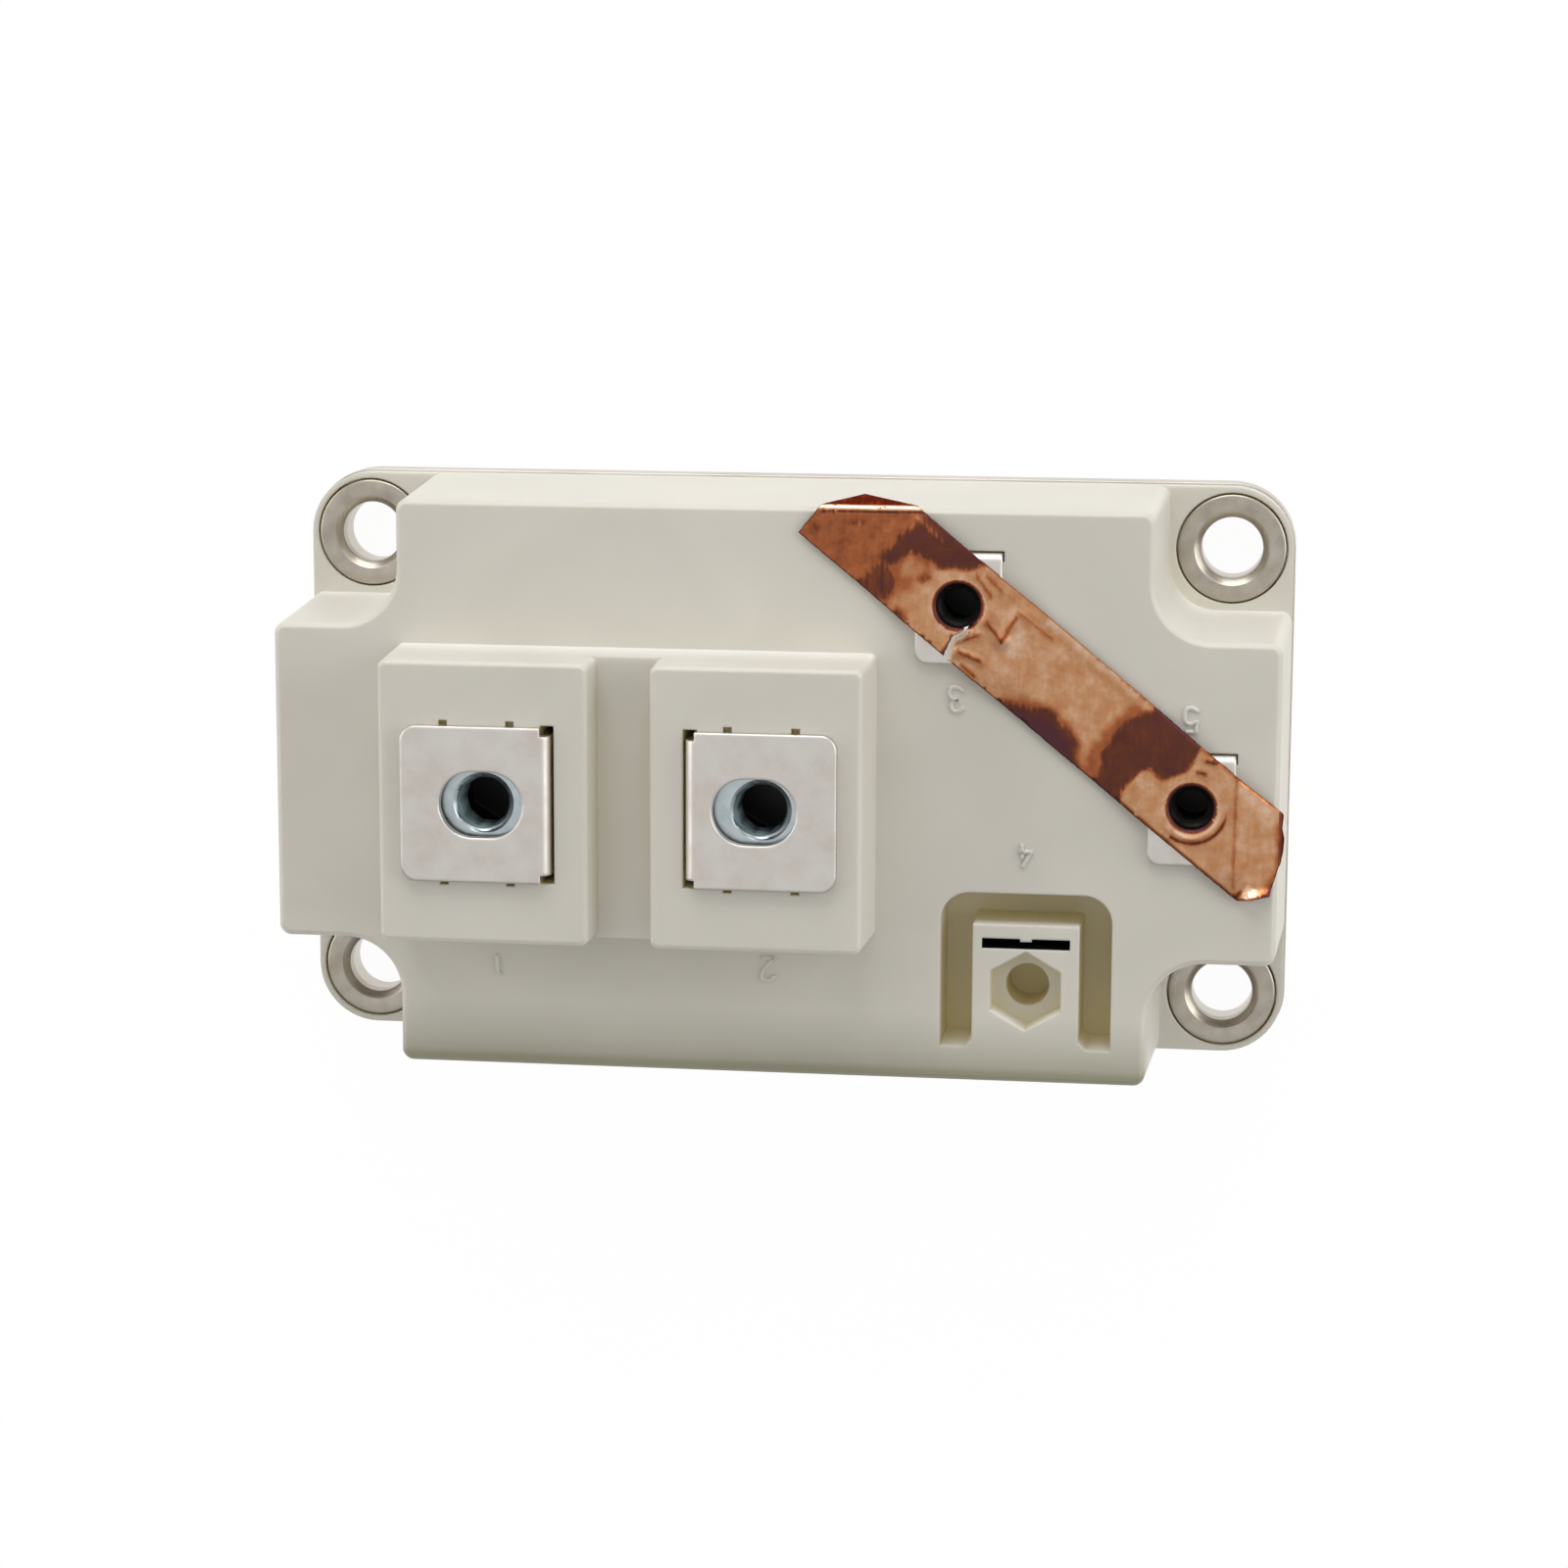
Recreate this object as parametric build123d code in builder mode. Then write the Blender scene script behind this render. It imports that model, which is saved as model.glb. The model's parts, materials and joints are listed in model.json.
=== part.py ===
from build123d import *
from math import atan2, cos, degrees, hypot, radians, sin, tan
import os

# Single-switch power module in the 62 mm package, lying on its base plate.
# Millimetres; +X along the long side, +Z away from the heat sink, origin under the middle.

# Base plate and its mounting pattern
base_l = 106.4
base_w = 61.4
base_t = 3.0
hole_edge = 6.7
bolt_hole_d = 6.5

# Heights above the mounting face
lug_h = 5.0
case_h = 25.0
block_rise = 10.5
saddle_drop = 4.9

# Case plan, wall and mould details
foot_inset = 0.2
notch_gap = 6.6
notch_r = 5.2
draft = 2.2
wall_t = 2.5
roof_t = 2.8
edge_cut = 0.45
corner_edge_r = 1.2

# Metal sleeves in the lugs
bushing_d = 11.5
bushing_gap = 0.15
bushing_proud = 0.05

# Terminal blocks, sizes at their top
main_pitch = 28.0
block_w = 21.5
block_l = 29.0
block_draft = 1.8
block_corner_r = 0.8
block_edge_cut = 0.35
core_in = 8.3
core_margin = 2.4
core_roof = 2.6

# Main terminals: plate on the block, leg through the slot
plate_t = 1.0
plate_w = 16.0
plate_reach = 8.3
plate_corner_r = 1.6
leg_reach = 7.1
leg_w = 14.3
bend_r = 1.2
relief = 1.0
slot_gap = 0.3
slot_play = 0.15
plate_hole_l = 8.6
plate_hole_w = 6.8
groove_pitch = 6.9
groove_cut_w = 0.9
groove_cut_over = 0.5
groove_cut_d = 1.0

# M6 nuts under the main terminals
m6_flats = 10.0
m6_h = 5.0
m6_bore = 5.0
m6_play = 0.6
m6_rest = 0.6
m6_shift = 0.5
m6_clear_d = 6.6
m6_clear_depth = 5.4

# Auxiliary terminals: places of 3 and 5 and of the unused position 4, from the axes and the plate's edges
aux_3_x = 19.4
aux_3_in = 10.7
aux_5_in = 9.8
aux_5_y = -0.2
aux_4_x = 26.72
aux_4_in = 10.6
tab_t = 0.8
tab_w = 8.8
tab_reach = 6.0
tab_corner_r = 1.2
tab_hole_d = 4.6
tab_leg_at = 5.0
tab_slot_play = 0.15
tab_bend_r = 0.9

# M4 nuts under the auxiliary terminals
m4_flats = 7.0
m4_h = 3.2
m4_bore = 3.3
m4_play = 0.15
m4_rest = 0.4
m4_clear_d = 4.5
boss_wall = 1.5
boss_gap = 0.1

# Creepage groove round position 4
groove_w = 3.35
groove_d = 7.5
groove_out_w = 17.7
groove_top = 10.3
groove_bottom = 6.05
groove_corner_r = 3.0
groove_end_cut = 0.8
nib_w = 1.2
nib_d = 0.3
nib_h = 1.5

# Copper strip laid over terminals 3 and 5
strip_w = 9.9
strip_skew = 0.89
strip_shift = 0.1
strip_t = 0.2
strip_start = 17.3
strip_end = 24.0
strip_hole_d = 5.0
strip_over = 0.2
strip_below_5 = 9.0
strip_corner_l = 1.0
strip_corner_w = 3.8
strip_flap_angle = 82.5
tear_w = 0.45
tear_at = 2.0

# Substrates, chips and wires inside
sub_gap = 3.0
sub_end_margin = 2.9
sub_side_margin = 6.0
solder_t = 0.2
foil_t = 0.3
ceramic_t = 0.63
foil_margin = 1.0
pad_gap = 0.7
column_w = 4.0
emitter_half = 3.0
gate_w = 2.0
chip_gap = 1.0
chip_margin_left = 0.8
chip_margin_right = 0.5
igbt_margin = 1.3
diode_to_igbt = 0.75
diode_margin = 1.3
diode_rest = 7.0
chip_t = 0.2
wire_t = 0.4
wire_rise = 2.8
wire_pitch = 3.0
igbt_wires = 1
diode_wires = 1
lead_w = 0.8
lead_drop = 2.8
lead_off_wall = 1.0

# Bus bars of the main terminals inside the case
bus_t = 1.0
bus_cover = 1.5
neck_rise = 4.0
collector_lane = (3.6, 7.0)
emitter_lane = (-2.8, 2.8)
pad_foot = 3.2
aux_leg_cover = 1.5
gel_z = 14.5

# Seal between case and base plate
seal_w = 1.0
seal_h = 0.8

# Derived sizes
block_h = case_h + block_rise
saddle_h = block_h - saddle_drop
hole_pitch_x = base_l - 2 * hole_edge
hole_pitch_y = base_w - 2 * hole_edge
corner_r = hole_edge
end_half = base_l / 2 - foot_inset
side_half = base_w / 2 - foot_inset
mid_half = hole_pitch_x / 2 - notch_gap
waist_half = hole_pitch_y / 2 - notch_gap
top_shrink = (case_h - lug_h) * tan(radians(draft))
side_top = side_half - top_shrink
end_top = end_half - top_shrink
block_grow = (block_h - case_h) * tan(radians(block_draft))
main_x = (-main_pitch, 0.0)
main_side = (1, -1)
roof_z = case_h - roof_t
m6_pocket_z = block_h - m6_rest - m6_h
m6_clear_floor = m6_pocket_z - m6_clear_depth
boss_z = gel_z + boss_gap
m4_pocket_z = case_h - m4_rest - m4_h
m4_clear_z = boss_z + boss_wall
boss_r = (m4_flats + m4_play) / 3 ** 0.5 + boss_wall
foil_z = base_t + solder_t
ceramic_z = foil_z + foil_t
pad_z = ceramic_z + ceramic_t
pad_top = pad_z + foil_t
chip_top = pad_top + chip_t
sub_l = mid_half - wall_t - sub_end_margin - sub_gap / 2
sub_w = 2 * (side_half - wall_t - sub_side_margin)
sub_x = (sub_gap + sub_l) / 2
foil_l = sub_l - 2 * foil_margin
foil_w = sub_w - 2 * foil_margin
chip_run = foil_l - column_w - pad_gap - chip_margin_left - chip_margin_right
igbt_l = (chip_run - chip_gap) / 2
chip_left = (igbt_l - foil_l) / 2 + chip_margin_left
chip_at = (chip_left, chip_left + igbt_l + chip_gap)
field_in = emitter_half + pad_gap
field_out = foil_w / 2 - gate_w - pad_gap
igbt_w = field_out - field_in - 2 * igbt_margin
igbt_v = (field_in + field_out) / 2
diode_l = igbt_l * diode_to_igbt
diode_w = foil_w / 2 - field_in - diode_margin - diode_rest
diode_v = -field_in - diode_margin - diode_w / 2
bus_z = gel_z - bus_cover - bus_t
neck_z = bus_z + neck_rise
aux_leg_z = gel_z - aux_leg_cover
lead_z = bus_z - lead_drop
sub_places = (("left", -sub_x), ("right", sub_x))
corner_places = [(sx * hole_pitch_x / 2, sy * hole_pitch_y / 2) for sy in (1, -1) for sx in (-1, 1)]
aux_3 = (aux_3_x, base_w / 2 - aux_3_in)
aux_5 = (base_l / 2 - aux_5_in, aux_5_y)
aux_4 = (aux_4_x, aux_4_in - base_w / 2)
strip_span = hypot(aux_5[0] - aux_3[0], aux_5[1] - aux_3[1])
strip_angle = degrees(atan2(aux_5[1] - aux_3[1], aux_5[0] - aux_3[0])) + strip_skew
strip_fold_y = aux_5[1] - strip_below_5

os.makedirs("parts", exist_ok=True)


def save(part, name):
    """Label one piece and write it to its own file."""
    part.label = name
    export_step(part, "parts/" + name + ".step")


def cross_room(inset, height, taper, mode=Mode.ADD):
    """Room on the base plate with the case's plan, pulled in from its walls: wide middle, narrower ends."""
    for half_x, half_y in ((mid_half, side_half), (end_half, waist_half)):
        with BuildSketch(Plane.XY.offset(base_t), mode=Mode.PRIVATE) as plan:
            Rectangle(2 * (half_x - inset), 2 * (half_y - inset))
        extrude(plan.sketch, amount=height, taper=taper, mode=mode)


def slab(x_from, x_to, y_from, y_to, z_from, z_to):
    """Straight-sided block between two corners, added to the piece in hand."""
    with BuildSketch(Plane.XY.offset(z_from), mode=Mode.PRIVATE) as plan:
        with Locations(((x_from + x_to) / 2, (y_from + y_to) / 2)):
            Rectangle(abs(x_to - x_from), abs(y_to - y_from))
    extrude(plan.sketch, amount=z_to - z_from)


def rims_at(shapes, z):
    """Edges of the level faces at height z."""
    level = [f for f in shapes if abs(f.center().Z - z) < 0.01 and f.bounding_box().size.Z < 0.01]
    return [e for f in level for e in f.edges()]


def upright(edges, z_from, z_to, reach_x, reach_y):
    """Edges that rise from one height to another, outside a middle field of the plan."""
    found = []
    for e in edges:
        span = e.bounding_box()
        rises = abs(span.min.Z - z_from) < 0.01 and abs(span.max.Z - z_to) < 0.01
        if rises and (abs(e.center().X) > reach_x or abs(e.center().Y) > reach_y):
            found.append(e)
    return found


# Base plate: flat copper plate with rounded corners concentric with its bolt holes
with BuildPart() as base_plate:
    with BuildSketch():
        RectangleRounded(base_l, base_w, corner_r)
        with GridLocations(hole_pitch_x, hole_pitch_y, 2, 2):
            Circle(bolt_hole_d / 2, mode=Mode.SUBTRACT)
    extrude(amount=base_t)
save(base_plate.part, "base_plate")

# Housing: one drafted moulding with lugs, terminal blocks, pockets, slots and groove
with BuildPart() as housing:
    with BuildSketch(Plane.XY.offset(lug_h)) as outline:
        Rectangle(2 * mid_half, 2 * side_half)
        Rectangle(2 * end_half, 2 * waist_half)
        middle = [v for v in outline.vertices() if abs(v.X) < mid_half + 0.1 and abs(v.Y) < waist_half + 0.1]
        fillet(middle, notch_r)
    extrude(amount=case_h - lug_h, taper=draft)
    fillet(upright(housing.edges(), lug_h, case_h, end_top - 1, side_top - 1), corner_edge_r)
    chamfer(rims_at(housing.faces(), case_h), edge_cut)
    # Foot with the four corner lugs
    with BuildSketch(Plane.XY.offset(base_t)):
        RectangleRounded(2 * end_half, 2 * side_half, corner_r - foot_inset)
    extrude(amount=lug_h - base_t)
    # Two terminal blocks and the saddle that joins them
    with BuildSketch(Plane.XY.offset(case_h)):
        with Locations(*[(x, 0) for x in main_x]):
            Rectangle(block_w + 2 * block_grow, block_l + 2 * block_grow)
    extrude(amount=block_h - case_h, taper=block_draft)
    fillet(upright(housing.edges(), case_h, block_h, 0, 0), block_corner_r)
    chamfer(rims_at(housing.faces(), block_h), block_edge_cut)
    with BuildSketch(Plane.XY.offset(case_h)):
        with Locations((-main_pitch / 2, 0)):
            Rectangle(main_pitch, block_l + 2 * block_grow)
    extrude(amount=saddle_h - case_h, taper=block_draft)
    # Hollow inside, with the rebate for the sealing bead
    cross_room(wall_t, roof_z - base_t, draft, mode=Mode.SUBTRACT)
    cross_room(wall_t - seal_w, seal_h, 0, mode=Mode.SUBTRACT)
    # Bosses hanging from the roof behind the auxiliary nuts, and the solid corner under the groove
    boss_top = roof_z + roof_t / 2
    with BuildSketch(Plane.XY.offset(boss_z)):
        with Locations(aux_3, aux_5):
            Rectangle(2 * boss_r, 2 * boss_r)
    extrude(amount=boss_top - boss_z)
    corner_in_x = aux_4[0] - groove_out_w / 2 - boss_wall
    corner_in_y = aux_4[1] + groove_top + boss_wall
    slab(corner_in_x, mid_half - wall_t / 2, wall_t / 2 - side_half, corner_in_y, boss_z, boss_top)
    # Cored-out chambers at both ends of each block
    core_l = block_l / 2 - core_margin - core_in
    with BuildSketch(Plane.XY.offset(roof_z)):
        for x in main_x:
            with Locations((x, core_in + core_l / 2), (x, -core_in - core_l / 2)):
                Rectangle(block_w - 2 * core_margin, core_l)
    extrude(amount=block_h - core_roof - roof_z, mode=Mode.SUBTRACT)
    # Nut pockets, bolt clearance, leg slots and the two press grooves under each plate
    for x, side in zip(main_x, main_side):
        with BuildSketch(Plane.XY.offset(block_h)):
            with Locations((x, 0)):
                RegularPolygon(m6_flats / 2 + m6_play, 6, major_radius=False, rotation=30)
        extrude(amount=m6_pocket_z - block_h, mode=Mode.SUBTRACT)
        with BuildSketch(Plane.XY.offset(m6_pocket_z)):
            with Locations((x, 0)):
                RegularPolygon(m6_clear_d / 2, 6, major_radius=False, rotation=30)
        extrude(amount=m6_clear_floor - m6_pocket_z, mode=Mode.SUBTRACT)
        slot_in = leg_reach - plate_t - slot_play
        slot_out = leg_reach + slot_gap
        with BuildSketch(Plane.XY.offset(block_h)):
            with Locations((x + side * (slot_in + slot_out) / 2, 0)):
                Rectangle(slot_out - slot_in, plate_w + 2 * slot_play)
        extrude(amount=roof_z - block_h - 0.5, mode=Mode.SUBTRACT)
        plate_mid = x + side * (leg_reach - plate_reach) / 2
        with BuildSketch(Plane.XY.offset(block_h)):
            with Locations((plate_mid - groove_pitch / 2, 0), (plate_mid + groove_pitch / 2, 0)):
                Rectangle(groove_cut_w, plate_w + 2 * groove_cut_over)
        extrude(amount=-groove_cut_d, mode=Mode.SUBTRACT)
    # Auxiliary positions: hex pocket, bolt clearance and tab slot
    for place in (aux_3, aux_4, aux_5):
        with BuildSketch(Plane.XY.offset(case_h)):
            with Locations(place):
                RegularPolygon(m4_flats / 2 + m4_play, 6, major_radius=False, rotation=30)
        extrude(amount=m4_pocket_z - case_h, mode=Mode.SUBTRACT)
        with BuildSketch(Plane.XY.offset(m4_pocket_z)):
            with Locations(place):
                Circle(m4_clear_d / 2)
        extrude(amount=m4_clear_z - m4_pocket_z, mode=Mode.SUBTRACT)
        with BuildSketch(Plane.XY.offset(case_h)):
            with Locations((place[0], place[1] + tab_leg_at)):
                Rectangle(tab_w + 2 * tab_slot_play, tab_t + 2 * tab_slot_play)
        extrude(amount=boss_z - case_h - 0.5, mode=Mode.SUBTRACT)
    # Small nib at the mouth of the empty slot
    nib_out = aux_4[1] + tab_leg_at + tab_t / 2 + tab_slot_play
    slab(aux_4[0] - nib_w / 2, aux_4[0] + nib_w / 2, nib_out - nib_d, nib_out, case_h - nib_h, case_h)
    # U-shaped creepage groove, open end towards the long side
    with BuildSketch(Plane.XY.offset(case_h)) as groove:
        with Locations((aux_4[0], aux_4[1] + (groove_top - groove_bottom) / 2)):
            Rectangle(groove_out_w, groove_top + groove_bottom)
        fillet(groove.vertices().group_by(Axis.Y)[-1], groove_corner_r)
        with Locations((aux_4[0], aux_4[1] + (groove_top - groove_bottom) / 2 - groove_w)):
            Rectangle(groove_out_w - 2 * groove_w, groove_top + groove_bottom, mode=Mode.SUBTRACT)
        low = groove.vertices().group_by(Axis.Y)[0]
        chamfer([v for v in low if abs(v.X - aux_4[0]) < groove_out_w / 2 - groove_w / 2], groove_end_cut)
    extrude(amount=-groove_d, mode=Mode.SUBTRACT)
    # Seats of the metal sleeves in the four lugs
    with BuildSketch(Plane.XY.offset(base_t)):
        with GridLocations(hole_pitch_x, hole_pitch_y, 2, 2):
            Circle(bushing_d / 2 + bushing_gap)
    extrude(amount=lug_h - base_t, mode=Mode.SUBTRACT)
save(housing.part, "housing")

# Mounting bushings: plain sleeves standing on the base plate, one per lug
for number, place in enumerate(corner_places, start=1):
    with BuildPart() as bushing:
        with BuildSketch(Plane.XY.offset(base_t)):
            with Locations(place):
                Circle(bushing_d / 2)
                Circle(bolt_hole_d / 2, mode=Mode.SUBTRACT)
        extrude(amount=lug_h + bushing_proud - base_t)
    save(bushing.part, "bushing_" + str(number))


def main_terminal(axis_x, side, lane, drops):
    """Bent terminal: plate over the nut, leg through the slot, bus bar and two soldered feet."""
    plate_out = axis_x + side * leg_reach
    plate_far = axis_x - side * plate_reach
    leg_in = plate_out - side * plate_t
    with BuildPart() as terminal:
        with BuildSketch(Plane.XY.offset(block_h)) as plate:
            with Locations(((plate_out + plate_far) / 2, 0)):
                Rectangle(abs(plate_out - plate_far), plate_w)
            fillet([v for v in plate.vertices() if abs(v.X - plate_far) < 0.01], plate_corner_r)
            for end in (1, -1):
                with Locations((plate_out - side * relief / 2, end * (plate_w + leg_w) / 4)):
                    Rectangle(relief, (plate_w - leg_w) / 2, mode=Mode.SUBTRACT)
            with Locations((axis_x, 0)):
                SlotOverall(plate_hole_l, plate_hole_w, mode=Mode.SUBTRACT)
        extrude(amount=plate_t)
        slab(leg_in, plate_out, -leg_w / 2, leg_w / 2, neck_z, block_h)
        crest = [
            e for e in terminal.edges()
            if abs(e.center().Z - block_h - plate_t) < 0.01 and abs(e.center().X - plate_out) < 0.01
        ]
        fillet(crest, bend_r)
        slab(leg_in, plate_out, lane[0], lane[1], bus_z, neck_z)
        ends = [leg_in, plate_out] + [x for drop in drops for x in drop]
        slab(min(ends), max(ends), lane[0], lane[1], bus_z, bus_z + bus_t)
        for x_tab, x_toe in drops:
            direction = 1 if x_toe > x_tab else -1
            slab(x_tab, x_tab + direction * bus_t, lane[0], lane[1], pad_top + bus_t, bus_z)
            slab(x_tab, x_toe, lane[0], lane[1], pad_top, pad_top + bus_t)
    return terminal.part


# Main terminals: 1 feeds the collector pads, 2 gathers the emitter pads
collector_drops = [(x + foil_l / 2 - 0.2, x + foil_l / 2 - 0.2 - pad_foot) for name, x in sub_places]
emitter_drops = [(x - foil_l / 2 + 0.2, x - foil_l / 2 + 0.2 + pad_foot) for name, x in sub_places]
main_terminal_1 = main_terminal(main_x[0], main_side[0], collector_lane, collector_drops)
main_terminal_2 = main_terminal(main_x[1], main_side[1], emitter_lane, emitter_drops)
save(main_terminal_1, "main_terminal_1")
save(main_terminal_2, "main_terminal_2")

# M6 nuts: loose in their pockets, the second one lying off centre as seen
with BuildPart() as m6_nuts:
    for x, shift in zip(main_x, (0.0, m6_shift)):
        with BuildSketch(Plane.XY.offset(m6_pocket_z)):
            with Locations((x + shift, 0)):
                RegularPolygon(m6_flats / 2, 6, major_radius=False, rotation=30)
                Circle(m6_bore / 2, mode=Mode.SUBTRACT)
        extrude(amount=m6_h)
save(m6_nuts.part, "m6_nuts")

# M4 nuts in the two used auxiliary pockets
with BuildPart() as m4_nuts:
    with BuildSketch(Plane.XY.offset(m4_pocket_z)):
        with Locations(aux_3, aux_5):
            RegularPolygon(m4_flats / 2, 6, major_radius=False, rotation=30)
            Circle(m4_bore / 2, mode=Mode.SUBTRACT)
    extrude(amount=m4_h)
save(m4_nuts.part, "m4_nuts")


def aux_terminal(place):
    """Auxiliary tab lying on the case, bent down through its slot."""
    leg_out = place[1] + tab_leg_at + tab_t / 2
    tab_end = place[1] - tab_reach
    with BuildPart() as terminal:
        with BuildSketch(Plane.XY.offset(case_h)) as tab:
            with Locations((place[0], (leg_out + tab_end) / 2)):
                Rectangle(tab_w, leg_out - tab_end)
            fillet(tab.vertices().group_by(Axis.Y)[0], tab_corner_r)
            with Locations(place):
                Circle(tab_hole_d / 2, mode=Mode.SUBTRACT)
        extrude(amount=tab_t)
        slab(place[0] - tab_w / 2, place[0] + tab_w / 2, leg_out - tab_t, leg_out, aux_leg_z, case_h)
        crest = [
            e for e in terminal.edges()
            if abs(e.center().Z - case_h - tab_t) < 0.01 and abs(e.center().Y - leg_out) < 0.01
        ]
        fillet(crest, tab_bend_r)
    return terminal.part


# Auxiliary terminals 3 and 5
aux_terminal_3 = aux_terminal(aux_3)
aux_terminal_5 = aux_terminal(aux_5)
save(aux_terminal_3, "aux_terminal_3")
save(aux_terminal_5, "aux_terminal_5")


def strip_blank(drop_y):
    """Outline of the square-cut strip, running through both screw holes, with its tear."""
    along = (cos(radians(strip_angle)), sin(radians(strip_angle)))
    across = (-along[1], along[0])
    middle = (strip_span + strip_end - strip_start) / 2
    centre = (
        aux_3[0] + middle * along[0] + strip_shift * across[0],
        aux_3[1] + middle * along[1] + strip_shift * across[1] - drop_y,
    )
    with Locations(centre):
        Rectangle(strip_span + strip_start + strip_end, strip_w, rotation=strip_angle)
    with Locations((aux_3[0], aux_3[1] - drop_y), (aux_5[0], aux_5[1] - drop_y)):
        Circle(strip_hole_d / 2, mode=Mode.SUBTRACT)
    tear = (
        aux_3[0] + tear_at * along[0] - strip_w / 3 * across[0],
        aux_3[1] + tear_at * along[1] - strip_w / 3 * across[1] - drop_y,
    )
    with Locations(tear):
        Rectangle(tear_w, strip_w / 2, rotation=strip_angle, mode=Mode.SUBTRACT)


# Shorting strip: flat over both tabs, its corner folded down over the long edge of the case
fold_y = side_top + strip_over
strip_z = case_h + tab_t
with BuildPart() as shorting_strip:
    with BuildSketch(Plane.XY.offset(strip_z)):
        strip_blank(0.0)
        with BuildLine():
            Polyline(
                (0, fold_y),
                (end_top + strip_over, fold_y),
                (end_top + strip_over, strip_fold_y + strip_corner_w),
                (end_top + strip_over - strip_corner_l, strip_fold_y),
                (0, strip_fold_y),
                close=True,
            )
        make_face(mode=Mode.INTERSECT)
    extrude(amount=strip_t)
    slope = radians(strip_flap_angle)
    flap_plane = Plane(
        origin=(0, fold_y, strip_z + strip_t), x_dir=(1, 0, 0), z_dir=(0, sin(slope), cos(slope))
    )
    with BuildSketch(flap_plane):
        strip_blank(fold_y)
        with Locations((0, base_l / 2)):
            Rectangle(base_l, base_l, mode=Mode.INTERSECT)
    extrude(amount=-strip_t)
save(shorting_strip.part, "shorting_strip")

# Substrates: solder layer, back copper, ceramic and the three circuit pads of each
inner_parts = []
for name, x in sub_places:
    with BuildPart() as substrate_solder:
        slab(x - foil_l / 2, x + foil_l / 2, -foil_w / 2, foil_w / 2, base_t, foil_z)
    save(substrate_solder.part, "substrate_solder_" + name)
    with BuildPart() as substrate_back:
        slab(x - foil_l / 2, x + foil_l / 2, -foil_w / 2, foil_w / 2, foil_z, ceramic_z)
    save(substrate_back.part, "substrate_back_" + name)
    with BuildPart() as substrate_ceramic:
        slab(x - sub_l / 2, x + sub_l / 2, -sub_w / 2, sub_w / 2, ceramic_z, pad_z)
    save(substrate_ceramic.part, "substrate_ceramic_" + name)
    right = x + foil_l / 2
    left = x - foil_l / 2
    with BuildPart() as substrate_circuit:
        # Collector pad: chip fields above and below, joined by a column at the right
        slab(left, right, emitter_half + pad_gap, foil_w / 2 - gate_w - pad_gap, pad_z, pad_top)
        slab(left, right, -foil_w / 2, -emitter_half - pad_gap, pad_z, pad_top)
        slab(right - column_w, right, -emitter_half - pad_gap, emitter_half + pad_gap, pad_z, pad_top)
        # Emitter pad between the chip fields, gate pad along the upper edge
        slab(left, right - column_w - pad_gap, -emitter_half, emitter_half, pad_z, pad_top)
        slab(left, right, foil_w / 2 - gate_w, foil_w / 2, pad_z, pad_top)
    save(substrate_circuit.part, "substrate_circuit_" + name)
    inner_parts += [substrate_solder.part, substrate_back.part, substrate_ceramic.part, substrate_circuit.part]

# Transistor and diode chips on the collector pads
with BuildPart() as igbt_chips:
    with BuildSketch(Plane.XY.offset(pad_top)):
        with Locations(*[(x + u, igbt_v) for name, x in sub_places for u in chip_at]):
            Rectangle(igbt_l, igbt_w)
    extrude(amount=chip_t)
save(igbt_chips.part, "igbt_chips")
with BuildPart() as diode_chips:
    with BuildSketch(Plane.XY.offset(pad_top)):
        with Locations(*[(x + u, diode_v) for name, x in sub_places for u in chip_at]):
            Rectangle(diode_l, diode_w)
    extrude(amount=chip_t)
save(diode_chips.part, "diode_chips")


def bond_wire(x, v_from, z_from, v_to, z_to):
    """Arched aluminium wire between two bonded feet."""
    crown = max(z_from, z_to) + wire_rise
    low = [
        (v_from, z_from),
        (v_from + (v_to - v_from) * 0.35, crown),
        (v_from + (v_to - v_from) * 0.65, crown),
        (v_to, z_to),
    ]
    high = [(v, z + wire_t) for v, z in reversed(low)]
    with BuildSketch(Plane.YZ.offset(x - wire_t / 2), mode=Mode.PRIVATE) as arch:
        with BuildLine():
            Polyline(*low, *high, close=True)
        make_face()
    extrude(arch.sketch, amount=wire_t)


# Bond wires: chip to emitter pad, chip to gate pad
with BuildPart() as bond_wires:
    for name, x in sub_places:
        for u in chip_at:
            first = x + u - (igbt_wires - 1) * wire_pitch / 2
            for k in range(igbt_wires):
                bond_wire(first + k * wire_pitch, igbt_v - 1.5, chip_top, emitter_half - 1.2, pad_top)
            gate_v = foil_w / 2 - gate_w / 2
            bond_wire(x + u, igbt_v + igbt_w / 2 - 1.8, chip_top, gate_v, pad_top)
            first = x + u - (diode_wires - 1) * wire_pitch / 2
            for k in range(diode_wires):
                bond_wire(first + k * wire_pitch, diode_v + 1.0, chip_top, -emitter_half + 1.2, pad_top)
save(bond_wires.part, "bond_wires")

# Control leads from the legs of terminals 3 and 5 to emitter and gate of the right substrate
gate_pad_at = (sub_x + foil_l / 2 - 1.5, foil_w / 2 - gate_w / 2)
emitter_pad_at = (sub_x + foil_l / 2 - column_w - pad_gap - 1.2, 0.0)
leg_3 = (aux_3[0], aux_3[1] + tab_leg_at)
leg_5 = (aux_5[0], aux_5[1] + tab_leg_at)
past_notch = (mid_half - wall_t - lead_off_wall, leg_5[1])
with BuildPart() as control_leads:
    for start, *way in ((leg_3, emitter_pad_at), (leg_5, past_notch, gate_pad_at)):
        level = [(*place, lead_z) for place in (start, *way)]
        with BuildLine() as route:
            Polyline((*start, aux_leg_z), *level, (*way[-1], pad_top))
        with BuildSketch(Plane(origin=(*start, aux_leg_z), z_dir=(0, 0, -1))):
            Rectangle(lead_w, lead_w)
        sweep(path=route.line, transition=Transition.RIGHT)
save(control_leads.part, "control_leads")

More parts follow.
